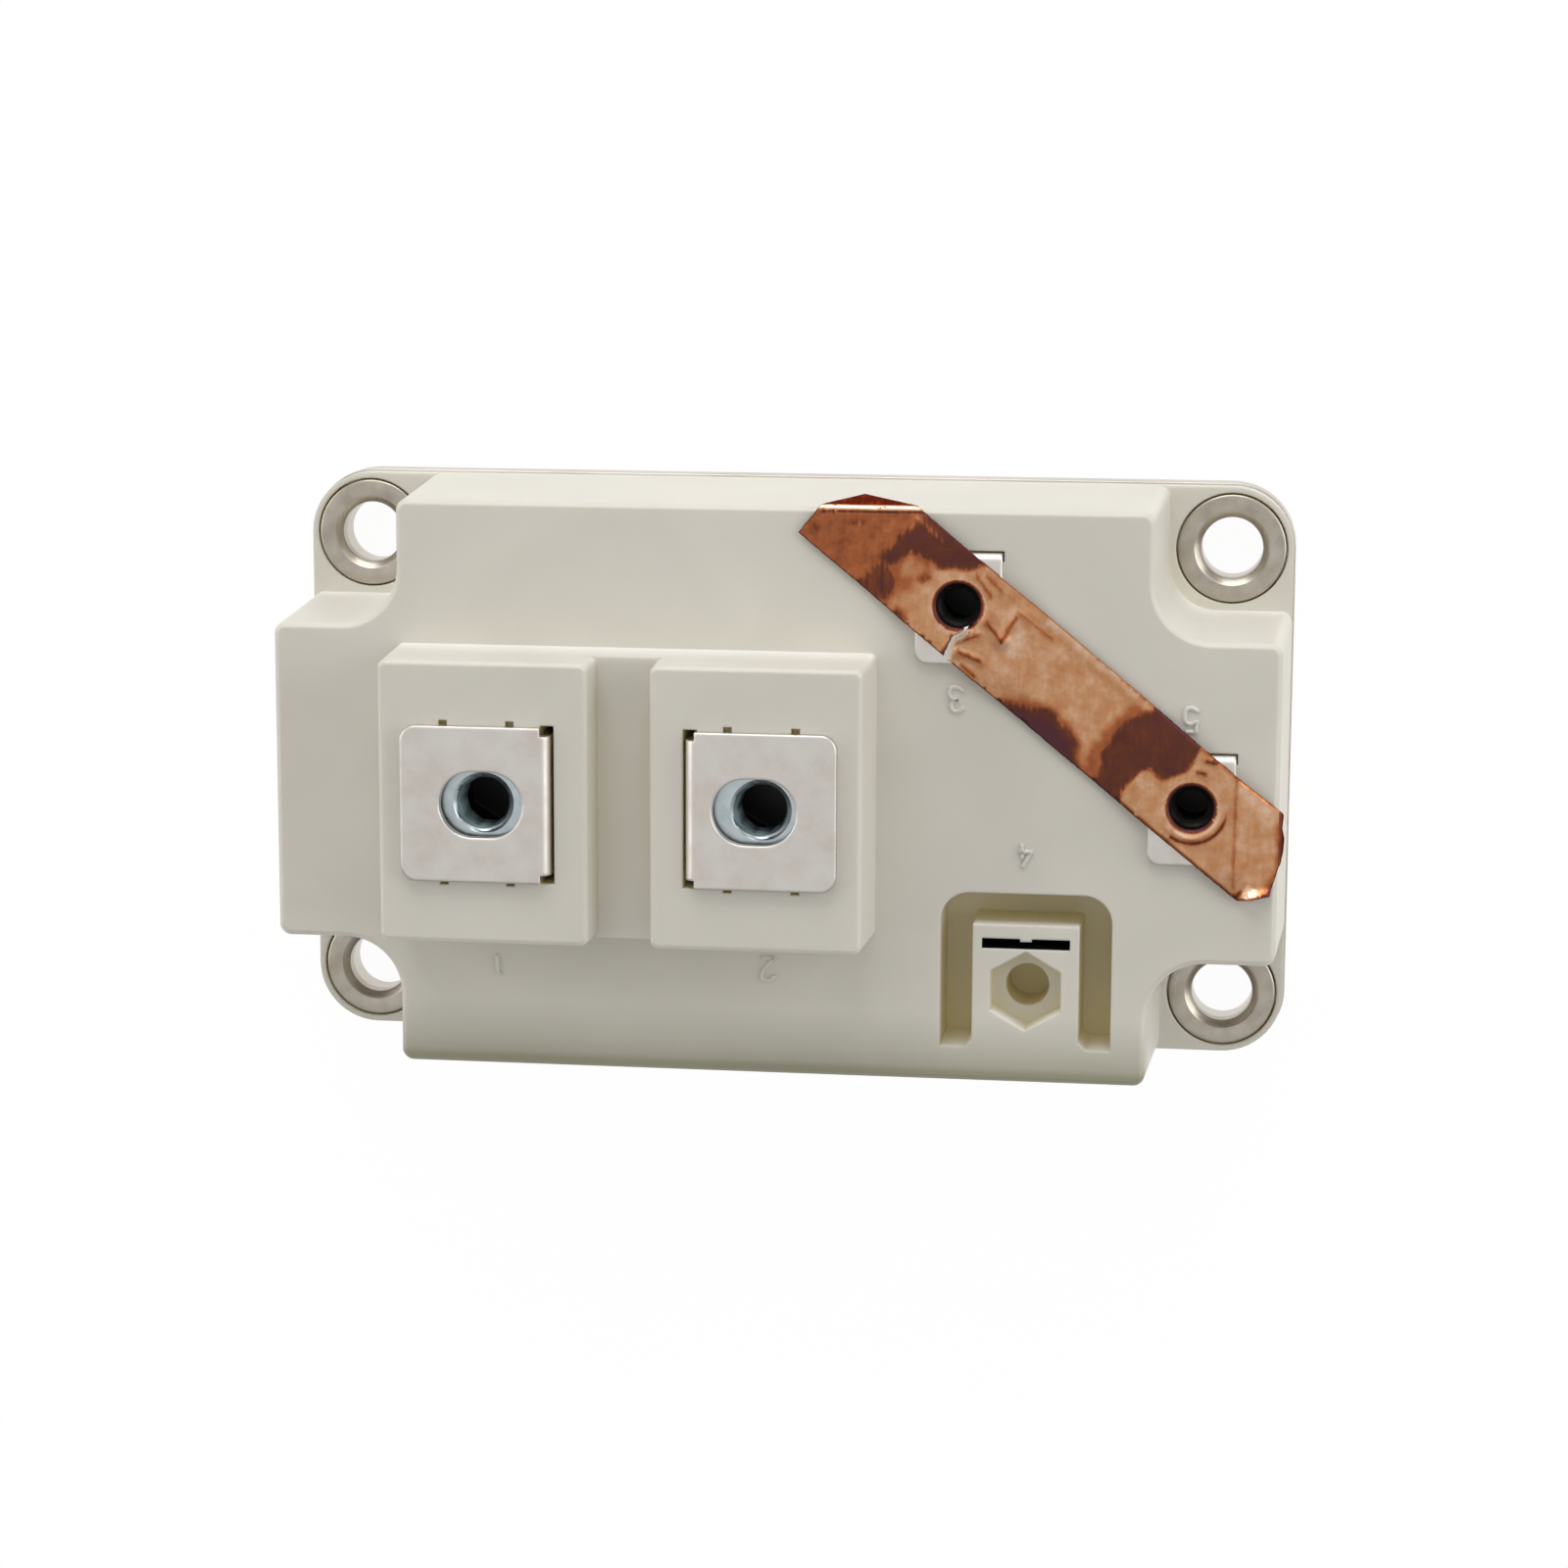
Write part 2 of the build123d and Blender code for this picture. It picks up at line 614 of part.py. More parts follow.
# Adhesive seal filling the rebate at the foot of the case wall
with BuildPart() as adhesive_seal:
    cross_room(wall_t - seal_w, seal_h, 0)
    cross_room(wall_t, roof_z - base_t, draft, mode=Mode.SUBTRACT)
save(adhesive_seal.part, "adhesive_seal")

# Silicone gel over the circuit, up to above the bus bars
with BuildPart() as silicone_gel:
    cross_room(wall_t, gel_z - base_t, draft)
    buried = [main_terminal_1, main_terminal_2, aux_terminal_3, aux_terminal_5]
    buried += inner_parts + [igbt_chips.part, diode_chips.part, bond_wires.part, control_leads.part]
    for piece in buried:
        add(piece, mode=Mode.SUBTRACT)
save(silicone_gel.part, "silicone_gel")
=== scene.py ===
import json
import math
import random

import bmesh
import bpy
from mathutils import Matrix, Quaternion, Vector, kdtree, noise
from mathutils.geometry import delaunay_2d_cdt, intersect_point_line


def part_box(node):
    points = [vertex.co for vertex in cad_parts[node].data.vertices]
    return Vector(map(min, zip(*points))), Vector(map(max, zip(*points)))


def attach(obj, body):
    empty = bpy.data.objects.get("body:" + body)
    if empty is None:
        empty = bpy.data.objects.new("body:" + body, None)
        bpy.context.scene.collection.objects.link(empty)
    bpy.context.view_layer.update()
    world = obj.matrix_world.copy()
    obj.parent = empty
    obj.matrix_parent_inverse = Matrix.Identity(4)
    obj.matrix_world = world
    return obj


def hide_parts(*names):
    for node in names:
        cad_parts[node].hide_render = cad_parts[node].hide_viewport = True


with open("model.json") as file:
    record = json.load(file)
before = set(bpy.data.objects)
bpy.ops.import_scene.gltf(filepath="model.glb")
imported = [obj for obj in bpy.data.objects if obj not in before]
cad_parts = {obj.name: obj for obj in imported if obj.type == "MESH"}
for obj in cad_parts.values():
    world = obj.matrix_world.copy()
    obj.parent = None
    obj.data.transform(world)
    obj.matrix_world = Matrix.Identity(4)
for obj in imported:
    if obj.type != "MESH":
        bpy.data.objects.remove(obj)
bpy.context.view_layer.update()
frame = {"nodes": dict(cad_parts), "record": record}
nodes = frame["nodes"]

# Base plate: rolled copper, nickel plated all over, that passes the heat to the sink.
# Only its edge shows beside the foot of the moulded case.
mm = 0.001


def linear(hex_colour):
    """An sRGB hex colour as linear RGBA."""
    channels = [int(hex_colour[i:i + 2], 16) / 255 for i in (1, 3, 5)]
    return [c / 12.92 if c <= 0.04045 else ((c + 0.055) / 1.055) ** 2.4 for c in channels] + [1.0]


def new_material(name):
    """A node material with nothing in it yet."""
    material = bpy.data.materials.new(name)
    material.use_nodes = True
    material.node_tree.nodes.clear()
    return material


def add_node(owner, kind, inputs=None, stops=None, **settings):
    """One shader node with its settings; each input is a value or the output that feeds it."""
    made = owner.node_tree.nodes.new(kind)
    for name, value in settings.items():
        setattr(made, name, value)
    for name, value in (inputs or {}).items():
        if isinstance(value, bpy.types.NodeSocket):
            owner.node_tree.links.new(value, made.inputs[name])
        else:
            made.inputs[name].default_value = value
    for index, (place, colour) in enumerate(stops or []):
        ramp = made.color_ramp.elements
        stop = ramp[index] if index < 2 else ramp.new(place)
        stop.position = place
        stop.color = colour
    return made


def grey(level):
    """A grey level as RGBA, for ramps that steer roughness or a mask."""
    return [level, level, level, 1.0]


def dress(names, material):
    """Give CAD nodes a finish."""
    for name in names:
        nodes[name].data.materials.clear()
        nodes[name].data.materials.append(material)


# Rolled nickel plate: warm satin metal, with fine rolling lines along the plate's length.
# The lines are drawn wider apart than real ones, so that they show.
roll_length = 30 * mm
roll_spacing = 0.3 * mm
roll_depth = 0.01 * mm
cloud_size = 14 * mm
plate_edge_r = 0.2 * mm
rolled_nickel = new_material("nickel_plate_rolled")
place = add_node(rolled_nickel, "ShaderNodeTexCoord").outputs["Object"]
rolled = add_node(
    rolled_nickel, "ShaderNodeMapping",
    {"Vector": place, "Scale": (1 / roll_length, 1 / roll_spacing, 1 / roll_spacing)},
).outputs["Vector"]
lines = add_node(
    rolled_nickel, "ShaderNodeTexNoise", {"Vector": rolled, "Scale": 1.0, "Detail": 3.0}
).outputs["Fac"]
clouds = add_node(
    rolled_nickel, "ShaderNodeTexNoise", {"Vector": place, "Scale": 1 / cloud_size}
).outputs["Fac"]
tint = add_node(
    rolled_nickel, "ShaderNodeValToRGB", {"Fac": clouds},
    stops=[(0.3, linear("#C3BBAE")), (0.7, linear("#D6CFC4"))],
).outputs["Color"]
gloss = add_node(
    rolled_nickel, "ShaderNodeValToRGB", {"Fac": lines}, stops=[(0.25, grey(0.24)), (0.75, grey(0.4))]
).outputs["Color"]
soft_edge = add_node(rolled_nickel, "ShaderNodeBevel", {"Radius": plate_edge_r}, samples=6).outputs["Normal"]
relief = add_node(
    rolled_nickel, "ShaderNodeBump",
    {"Height": lines, "Strength": 0.25, "Distance": roll_depth, "Normal": soft_edge},
).outputs["Normal"]
metal = add_node(
    rolled_nickel, "ShaderNodeBsdfPrincipled",
    {"Base Color": tint, "Metallic": 1.0, "Roughness": gloss, "Normal": relief},
).outputs["BSDF"]
add_node(rolled_nickel, "ShaderNodeOutputMaterial", {"Surface": metal})
dress(["base_plate"], rolled_nickel)

# Housing: one injection moulding in glass-filled PBT, glued and clamped down on the base plate.
# Off-white, finely matt from the spark-eroded mould, with small rounded edges everywhere.
# The mould's grit is drawn coarser than it is, so that it shows.
grit = 0.35 * mm
grit_depth = 0.02 * mm
flow_width = 16 * mm
speck_size = 1.1 * mm
groove_reach = 9 * mm
mould_edge_r = 0.35 * mm
light_depth = 1.5 * mm
tab_t = 0.8 * mm
case_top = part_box("aux_terminal_3")[1].z - tab_t
moulded_pbt = new_material("pbt_moulded_off_white")
place = add_node(moulded_pbt, "ShaderNodeTexCoord").outputs["Object"]
flow = add_node(
    moulded_pbt, "ShaderNodeTexNoise",
    {"Vector": place, "Scale": 1 / flow_width, "Detail": 2.0, "Distortion": 0.6},
).outputs["Fac"]
tint = add_node(
    moulded_pbt, "ShaderNodeValToRGB", {"Fac": flow},
    stops=[(0.3, linear("#D3CFC4")), (0.7, linear("#D9D5CA"))],
).outputs["Color"]
specks = add_node(
    moulded_pbt, "ShaderNodeTexNoise",
    {"Vector": place, "Scale": 1 / speck_size, "Detail": 4.0, "Roughness": 0.7},
).outputs["Fac"]
speck_mask = add_node(
    moulded_pbt, "ShaderNodeValToRGB", {"Fac": specks}, stops=[(0.69, grey(0.0)), (0.78, grey(0.35))]
).outputs["Color"]
speckled = add_node(
    moulded_pbt, "ShaderNodeMix", {0: speck_mask, 6: tint, 7: linear("#BFB8A4")}, data_type="RGBA"
).outputs[2]
# Light that has bounced about in a deep groove comes out tinted by the plastic.
openness = add_node(
    moulded_pbt, "ShaderNodeAmbientOcclusion", {"Distance": groove_reach}, samples=8
).outputs["AO"]
depth_mask = add_node(
    moulded_pbt, "ShaderNodeValToRGB", {"Fac": openness}, stops=[(0.1, grey(0.9)), (0.42, grey(0.0))]
).outputs["Color"]
deepened = add_node(
    moulded_pbt, "ShaderNodeMix", {0: depth_mask, 6: speckled, 7: linear("#F2E5B4")}, data_type="RGBA"
).outputs[2]
# Pocket and notch walls towards the window are the whitest in the photo; a paler tint makes up for
# the light that the mouth of a pocket keeps out.
facing = add_node(moulded_pbt, "ShaderNodeNewGeometry").outputs["Normal"]
to_window = add_node(moulded_pbt, "ShaderNodeSeparateXYZ", {"Vector": facing}).outputs["Y"]
window_side_mask = add_node(
    moulded_pbt, "ShaderNodeValToRGB", {"Fac": to_window}, stops=[(0.5, grey(0.0)), (0.85, grey(1.0))]
).outputs["Color"]
shallow_mask = add_node(
    moulded_pbt, "ShaderNodeValToRGB", {"Fac": openness},
    stops=[(0.18, grey(0.0)), (0.36, grey(1.0)), (0.6, grey(0.8)), (0.85, grey(0.0))],
).outputs["Color"]
white_mask = add_node(
    moulded_pbt, "ShaderNodeMath", {0: window_side_mask, 1: shallow_mask}, operation="MULTIPLY"
).outputs["Value"]
whitened = add_node(
    moulded_pbt, "ShaderNodeMix", {0: white_mask, 6: deepened, 7: linear("#F8F6F0")}, data_type="RGBA"
).outputs[2]
# Painted shade: the case top darkens towards its near edge, where less light falls.
front_shade_edge = -29.28 * mm
front_shade_reach = 6.5 * mm
front_shade_drop = 6 * mm
split = add_node(moulded_pbt, "ShaderNodeSeparateXYZ", {"Vector": place}).outputs
from_near_edge = add_node(
    moulded_pbt, "ShaderNodeMapRange",
    {"Value": split["Y"], "From Min": front_shade_edge, "From Max": front_shade_edge + front_shade_reach},
).outputs["Result"]
front_shade_in = add_node(
    moulded_pbt, "ShaderNodeValToRGB", {"Fac": from_near_edge},
    stops=[(0.06, grey(1.0)), (0.17, grey(0.65)), (0.37, grey(0.44)), (0.62, grey(0.25)), (1.0, grey(0.0))],
).outputs["Color"]
front_shade_down = add_node(
    moulded_pbt, "ShaderNodeMapRange",
    {"Value": split["Z"], "From Min": case_top - front_shade_drop, "From Max": case_top},
).outputs["Result"]
front_shade_mask = add_node(
    moulded_pbt, "ShaderNodeMath", {0: front_shade_in, 1: front_shade_down}, operation="MULTIPLY"
).outputs["Value"]
front_shaded = add_node(
    moulded_pbt, "ShaderNodeMix", {0: front_shade_mask, 6: whitened, 7: linear("#99967F")}, data_type="RGBA"
).outputs[2]
# Painted shade: the blind ends of the screw holes under the nuts are coloured black.
screw_axis = {mount["name"]: Vector(mount["pos_m"]) for mount in frame["record"]["mounts"]}
m6_blind_r = 5.0 * mm
m4_blind_r = 3.5 * mm
blind_margin = 0.05 * mm
plan = add_node(
    moulded_pbt, "ShaderNodeVectorMath", {0: place, 1: (1.0, 1.0, 0.0)}, operation="MULTIPLY"
).outputs["Vector"]
hole_shade_mask = None
for nut, screw, reach in (
    ("m6_nuts", "main_screw_1", m6_blind_r), ("m6_nuts", "main_screw_2", m6_blind_r),
    ("m4_nuts", "aux_screw_3", m4_blind_r), ("m4_nuts", "aux_screw_5", m4_blind_r),
):
    axis = screw_axis[screw]
    off_axis = add_node(
        moulded_pbt, "ShaderNodeVectorMath", {0: plan, 1: (axis.x, axis.y, 0.0)}, operation="DISTANCE"
    ).outputs["Value"]
    close = add_node(
        moulded_pbt, "ShaderNodeMath", {0: off_axis, 1: reach}, operation="LESS_THAN"
    ).outputs["Value"]
    under = add_node(
        moulded_pbt, "ShaderNodeMath",
        {0: split["Z"], 1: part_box(nut)[0].z - blind_margin}, operation="LESS_THAN",
    ).outputs["Value"]
    blind = add_node(
        moulded_pbt, "ShaderNodeMath", {0: close, 1: under}, operation="MULTIPLY"
    ).outputs["Value"]
    if hole_shade_mask is not None:
        blind = add_node(
            moulded_pbt, "ShaderNodeMath", {0: hole_shade_mask, 1: blind}, operation="MAXIMUM"
        ).outputs["Value"]
    hole_shade_mask = blind
# Painted shade: the slot of the empty position 4 is coloured near-black below its lip, for the dark inside of
# the case.
slot_x = 26.72 * mm
slot_y = -15.1 * mm
slot_half_x = 4.58 * mm
slot_half_y = 0.58 * mm
slot_lip = 0.25 * mm
from_slot = add_node(
    moulded_pbt, "ShaderNodeVectorMath", {0: plan, 1: (slot_x, slot_y, 0.0)}, operation="SUBTRACT"
).outputs["Vector"]
slot_widths = add_node(
    moulded_pbt, "ShaderNodeVectorMath",
    {0: from_slot, 1: (1 / slot_half_x, 1 / slot_half_y, 0.0)}, operation="MULTIPLY",
).outputs["Vector"]
unsigned = add_node(
    moulded_pbt, "ShaderNodeVectorMath", {0: slot_widths}, operation="ABSOLUTE"
).outputs["Vector"]
slot_axes = add_node(moulded_pbt, "ShaderNodeSeparateXYZ", {"Vector": unsigned}).outputs
farther = add_node(
    moulded_pbt, "ShaderNodeMath", {0: slot_axes["X"], 1: slot_axes["Y"]}, operation="MAXIMUM"
).outputs["Value"]
over_slot = add_node(
    moulded_pbt, "ShaderNodeMath", {0: farther, 1: 1.0}, operation="LESS_THAN"
).outputs["Value"]
below_lip = add_node(
    moulded_pbt, "ShaderNodeMath", {0: split["Z"], 1: case_top - slot_lip}, operation="LESS_THAN"
).outputs["Value"]
in_slot = add_node(
    moulded_pbt, "ShaderNodeMath", {0: over_slot, 1: below_lip}, operation="MULTIPLY"
).outputs["Value"]
painted_shade_mask = add_node(
    moulded_pbt, "ShaderNodeMath", {0: hole_shade_mask, 1: in_slot}, operation="MAXIMUM"
).outputs["Value"]
shade_painted = add_node(
    moulded_pbt, "ShaderNodeMix", {0: painted_shade_mask, 6: front_shaded, 7: linear("#12130F")}, data_type="RGBA"
).outputs[2]
grain = add_node(
    moulded_pbt, "ShaderNodeTexNoise", {"Vector": place, "Scale": 1 / grit, "Detail": 2.0}
).outputs["Fac"]
gloss = add_node(
    moulded_pbt, "ShaderNodeValToRGB", {"Fac": flow}, stops=[(0.2, grey(0.42)), (0.8, grey(0.52))]
).outputs["Color"]
soft_edge = add_node(moulded_pbt, "ShaderNodeBevel", {"Radius": mould_edge_r}, samples=8).outputs["Normal"]
relief = add_node(
    moulded_pbt, "ShaderNodeBump",
    {"Height": grain, "Strength": 0.3, "Distance": grit_depth, "Normal": soft_edge},
).outputs["Normal"]
plastic = add_node(
    moulded_pbt, "ShaderNodeBsdfPrincipled",
    {
        "Base Color": shade_painted, "Roughness": gloss, "IOR": 1.5, "Normal": relief,
        "Subsurface Weight": 0.25, "Subsurface Radius": (1.0, 0.85, 0.55), "Subsurface Scale": light_depth,
    },
).outputs["BSDF"]
add_node(moulded_pbt, "ShaderNodeOutputMaterial", {"Surface": plastic})
dress(["housing"], moulded_pbt)

# Terminal numbers: round strokes raised on the case top by the mould, read from the far side.
# They are part of the moulding and share its plastic.
stroke_r = 0.23 * mm
stroke_lift = 0.04 * mm
digit_h = 2.4 * mm
digit_w = 1.4 * mm
digit_places = {
    "1": (-28.7, -19.2), "2": (-0.1, -18.6), "3": (19.3, 10.3), "4": (26.5, -5.8), "5": (43.2, 8.7),
}
digit_strokes = {
    "1": [[(-0.35, 0.55), (0.1, 1.0), (0.1, -1.0)]],
    "2": [
        [(-0.9, 0.5), (-0.8, 1.0), (0.8, 1.05), (1.0, 0.3), (0.1, -0.3), (-0.9, -1.0), (-0.9, -1.0),
         (1.0, -1.0)],
    ],
    "3": [
        [(-0.9, 0.7), (-0.5, 1.05), (0.8, 1.05), (0.9, 0.1), (-0.2, 0.08)],
        [(-0.2, 0.08), (1.1, 0.05), (1.1, -1.05), (-0.5, -1.05), (-0.95, -0.65)],
    ],
    "4": [
        [(0.35, 1.0), (0.35, 1.0), (-0.9, -0.35), (-0.9, -0.35), (0.95, -0.35)],
        [(0.45, 0.25), (0.45, -1.0)],
    ],
    "5": [
        [(0.85, 1.0), (-0.65, 1.0), (-0.65, 1.0), (-0.75, 0.1), (-0.75, 0.1), (-0.2, 0.3), (0.95, 0.3),
         (1.0, -1.0), (-0.4, -1.1), (-0.9, -0.7)],
    ],
}
numbers = bpy.data.curves.new("terminal_numbers", "CURVE")
numbers.dimensions = "3D"
numbers.bevel_depth = stroke_r
numbers.bevel_resolution = 3
numbers.use_fill_caps = True
for digit, (x, y) in digit_places.items():
    for stroke in digit_strokes[digit]:
        spline = numbers.splines.new("NURBS")
        spline.points.add(len(stroke) - 1)
        for point, (u, v) in zip(spline.points, stroke):
            point.co = (x * mm - u * digit_w / 2, y * mm - v * digit_h / 2, case_top + stroke_lift, 1.0)
        spline.order_u = 3
        spline.use_endpoint_u = True
        spline.resolution_u = 8
terminal_numbers = bpy.data.objects.new("terminal_numbers", numbers)
bpy.context.scene.collection.objects.link(terminal_numbers)
numbers.materials.append(moulded_pbt)
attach(terminal_numbers, "root")

# Mounting sleeves: turned steel rings in the four lugs that take the clamping load off the plastic.
# Lathe-turned and plated, with a broken outer edge and a countersunk bolt hole.


def make_piece(name, vertices, faces, material, stands_for, sharp_angle=35):
    """A mesh piece in the frame that stands for CAD nodes, smooth except at its sharp edges."""
    mesh = bpy.data.meshes.new(name)
    mesh.from_pydata(vertices, [], faces)
    skin = bmesh.new()
    skin.from_mesh(mesh)
    bmesh.ops.recalc_face_normals(skin, faces=skin.faces)
    skin.to_mesh(mesh)
    skin.free()
    mesh.shade_smooth()
    mesh.set_sharp_from_angle(angle=math.radians(sharp_angle))
    mesh.materials.append(material)
    piece = bpy.data.objects.new(name, mesh)
    bpy.context.scene.collection.objects.link(piece)
    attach(piece, "root")
    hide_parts(*stands_for)
    return piece


def ring_faces(ring_count, around):
    """Quads that close a pile of equal rings into one skin, the last ring meeting the first."""
    faces = []
    for row in range(ring_count):
        above = (row + 1) % ring_count
        for k in range(around):
            turn = (k + 1) % around
            faces.append((row * around + k, row * around + turn, above * around + turn, above * around + k))
    return faces


# Turned steel: fine tool rings round the axis, that break up the gloss.
sleeve_d = 11.5 * mm
tool_feed = 0.22 * mm
tool_depth = 0.015 * mm
smudge_size = 2.3 * mm
turned_steel = new_material("steel_turned_plated")
place = add_node(turned_steel, "ShaderNodeTexCoord").outputs["Generated"]
centred = add_node(
    turned_steel, "ShaderNodeVectorMath", {0: place, 1: (0.5, 0.5, 0.0)}, operation="SUBTRACT"
).outputs["Vector"]
flat = add_node(
    turned_steel, "ShaderNodeVectorMath", {0: centred, 1: (1.0, 1.0, 0.0)}, operation="MULTIPLY"
).outputs["Vector"]
radius = add_node(turned_steel, "ShaderNodeVectorMath", {0: flat}, operation="LENGTH").outputs["Value"]
tool_marks = add_node(
    turned_steel, "ShaderNodeTexNoise",
    {"W": radius, "Scale": sleeve_d / tool_feed, "Detail": 3.0}, noise_dimensions="1D",
).outputs["Fac"]
smudge = add_node(
    turned_steel, "ShaderNodeTexNoise", {"Vector": place, "Scale": sleeve_d / smudge_size, "Detail": 3.0}
).outputs["Fac"]
tint = add_node(
    turned_steel, "ShaderNodeValToRGB", {"Fac": smudge},
    stops=[(0.3, linear("#A59D90")), (0.7, linear("#BFB7AB"))],
).outputs["Color"]
gloss = add_node(
    turned_steel, "ShaderNodeValToRGB", {"Fac": tool_marks}, stops=[(0.25, grey(0.26)), (0.75, grey(0.42))]
).outputs["Color"]
relief = add_node(
    turned_steel, "ShaderNodeBump", {"Height": tool_marks, "Strength": 0.35, "Distance": tool_depth}
).outputs["Normal"]
metal = add_node(
    turned_steel, "ShaderNodeBsdfPrincipled",
    {"Base Color": tint, "Metallic": 1.0, "Roughness": gloss, "Normal": relief},
).outputs["BSDF"]
add_node(turned_steel, "ShaderNodeOutputMaterial", {"Surface": metal})

sleeve_around = 96
sleeve_bore_r = 3.25 * mm
sleeve_lip = 0.8 * mm
sleeve_break = 0.3 * mm
break_steps = 4
lip_profile = ((0.0, 1.0), (0.03, 0.9), (0.1, 0.8), (0.8, 0.1), (0.9, 0.03), (1.0, 0.0))
for number in (1, 2, 3, 4):
    low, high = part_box("bushing_" + str(number))
    middle = (low + high) / 2
    sleeve_r = (high.x - low.x) / 2
    profile = [(sleeve_bore_r, low.z)]
    for out, down in lip_profile:
        profile.append((sleeve_bore_r + sleeve_lip * out, high.z - sleeve_lip * down))
    for step in range(break_steps + 1):
        angle = math.radians(90 * step / break_steps)
        profile.append((
            sleeve_r - sleeve_break * (1 - math.sin(angle)),
            high.z - sleeve_break * (1 - math.cos(angle)),
        ))
    profile.append((sleeve_r, low.z))
    vertices = []
    for r, z in profile:
        for k in range(sleeve_around):
            angle = 2 * math.pi * k / sleeve_around
            vertices.append((middle.x + r * math.cos(angle), middle.y + r * math.sin(angle), z))
    make_piece(
        "sleeve_" + str(number), vertices, ring_faces(len(profile), sleeve_around),
        turned_steel, ["bushing_" + str(number)],
    )

# Terminals: two main plates and two small tabs, stamped from copper, bent down through slots, nickel plated.
# Satin and slightly soiled from handling, with edges rounded by the punch.
# Their fine scratches are drawn wider than real ones, so that they show.
smear_length = 4.5 * mm
scratch_length = 5.0 * mm
scratch_width = 0.12 * mm
scratch_depth = 0.01 * mm
scratch_turn = math.radians(24)
punched_edge_r = 0.45 * mm
stamped_nickel = new_material("nickel_plate_stamped")
place = add_node(stamped_nickel, "ShaderNodeTexCoord").outputs["Object"]
smears = add_node(
    stamped_nickel, "ShaderNodeTexNoise",
    {"Vector": place, "Scale": 1 / smear_length, "Detail": 5.0, "Roughness": 0.65},
).outputs["Fac"]
tint = add_node(
    stamped_nickel, "ShaderNodeValToRGB", {"Fac": smears},
    stops=[(0.32, linear("#D0C7BF")), (0.5, linear("#D6D1CA")), (0.7, linear("#DAD7D1"))],
).outputs["Color"]
turned_place = add_node(
    stamped_nickel, "ShaderNodeMapping",
    {
        "Vector": place, "Rotation": (0, 0, scratch_turn),
        "Scale": (1 / scratch_width, 1 / scratch_length, 1 / scratch_length),
    },
).outputs["Vector"]
scratches = add_node(
    stamped_nickel, "ShaderNodeTexNoise", {"Vector": turned_place, "Scale": 1.0, "Detail": 2.0}
).outputs["Fac"]
gloss = add_node(
    stamped_nickel, "ShaderNodeValToRGB", {"Fac": smears}, stops=[(0.3, grey(0.44)), (0.7, grey(0.3))]
).outputs["Color"]
soft_edge = add_node(
    stamped_nickel, "ShaderNodeBevel", {"Radius": punched_edge_r}, samples=8
).outputs["Normal"]
relief = add_node(
    stamped_nickel, "ShaderNodeBump",
    {"Height": scratches, "Strength": 0.2, "Distance": scratch_depth, "Normal": soft_edge},
).outputs["Normal"]
metal = add_node(
    stamped_nickel, "ShaderNodeBsdfPrincipled",
    {"Base Color": tint, "Metallic": 1.0, "Roughness": gloss, "Normal": relief},
).outputs["BSDF"]
add_node(stamped_nickel, "ShaderNodeOutputMaterial", {"Surface": metal})
dress(["main_terminal_1", "main_terminal_2", "aux_terminal_3", "aux_terminal_5"], stamped_nickel)

# Terminal nuts: loose steel hex nuts in the pockets, M6 under the plates and M4 under the tabs.
# Cold formed, tapped and zinc plated; the thread shows through the plates' oval holes.


def threaded_nut(axis, base_z, across_flats, height, pitch, core_d, thread_d):
    """Vertices and faces of one hex nut with chamfered corners, countersunk mouths and a cut thread.

    The third list tells which vertices lie in the thread below its topmost levels, where the finish paints
    shade.
    """
    around = 60
    levels_per_turn = 10
    unshaded_levels = 4
    crest_share, flank_share = 0.12, 0.76
    mouth_widening = 0.15 * mm
    crown_share = 0.97
    crown_slope = math.tan(math.radians(30))
    half_side = math.pi / 6
    levels = round(height / pitch) * levels_per_turn
    mouth_r = thread_d / 2 + mouth_widening
    crown_r = across_flats / 2 * crown_share
    angles = [2 * math.pi * k / around for k in range(around)]
    hex_r = [
        across_flats / 2 / math.cos((angle + half_side) % (2 * half_side) - half_side) for angle in angles
    ]
    rings = []
    for level in range(levels + 1):
        z = height * level / levels
        ring = []
        for angle in angles:
            phase = (z / pitch - angle / (2 * math.pi)) % 1.0
            depth = min(max((abs(2 * phase - 1) - crest_share) / flank_share, 0.0), 1.0)
            bore_r = (core_d + (thread_d - core_d) * depth) / 2
            ring.append((max(bore_r, mouth_r - min(z, height - z)), z))
        rings.append(ring)
    rings.append([(crown_r, height)] * around)
    rings.append([(r, height - (r - crown_r) * crown_slope) for r in hex_r])
    rings.append([(r, (r - crown_r) * crown_slope) for r in hex_r])
    rings.append([(crown_r, 0.0)] * around)
    vertices = [
        (axis.x + r * math.cos(angle), axis.y + r * math.sin(angle), base_z + z)
        for ring in rings for angle, (r, z) in zip(angles, ring)
    ]
    in_thread = [level < levels - unshaded_levels for level in range(len(rings)) for angle in angles]
    return vertices, ring_faces(len(rings), around), in_thread


def nut_group(name, node, finish, screws, **sizes):
    """The nuts of one size as a single piece that stands for their CAD node."""
    vertices, faces, tapped = [], [], []
    low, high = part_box(node)
    for screw in screws:
        more, quads, in_thread = threaded_nut(screw_axis[screw], low.z, height=high.z - low.z, **sizes)
        faces += [tuple(index + len(vertices) for index in quad) for quad in quads]
        vertices += more
        tapped += in_thread
    nuts = make_piece(name, vertices, faces, finish, [node], sharp_angle=28)
    cut = nuts.data.attributes.new("cut_thread", "FLOAT", "POINT")
    cut.data.foreach_set("value", [float(value) for value in tapped])


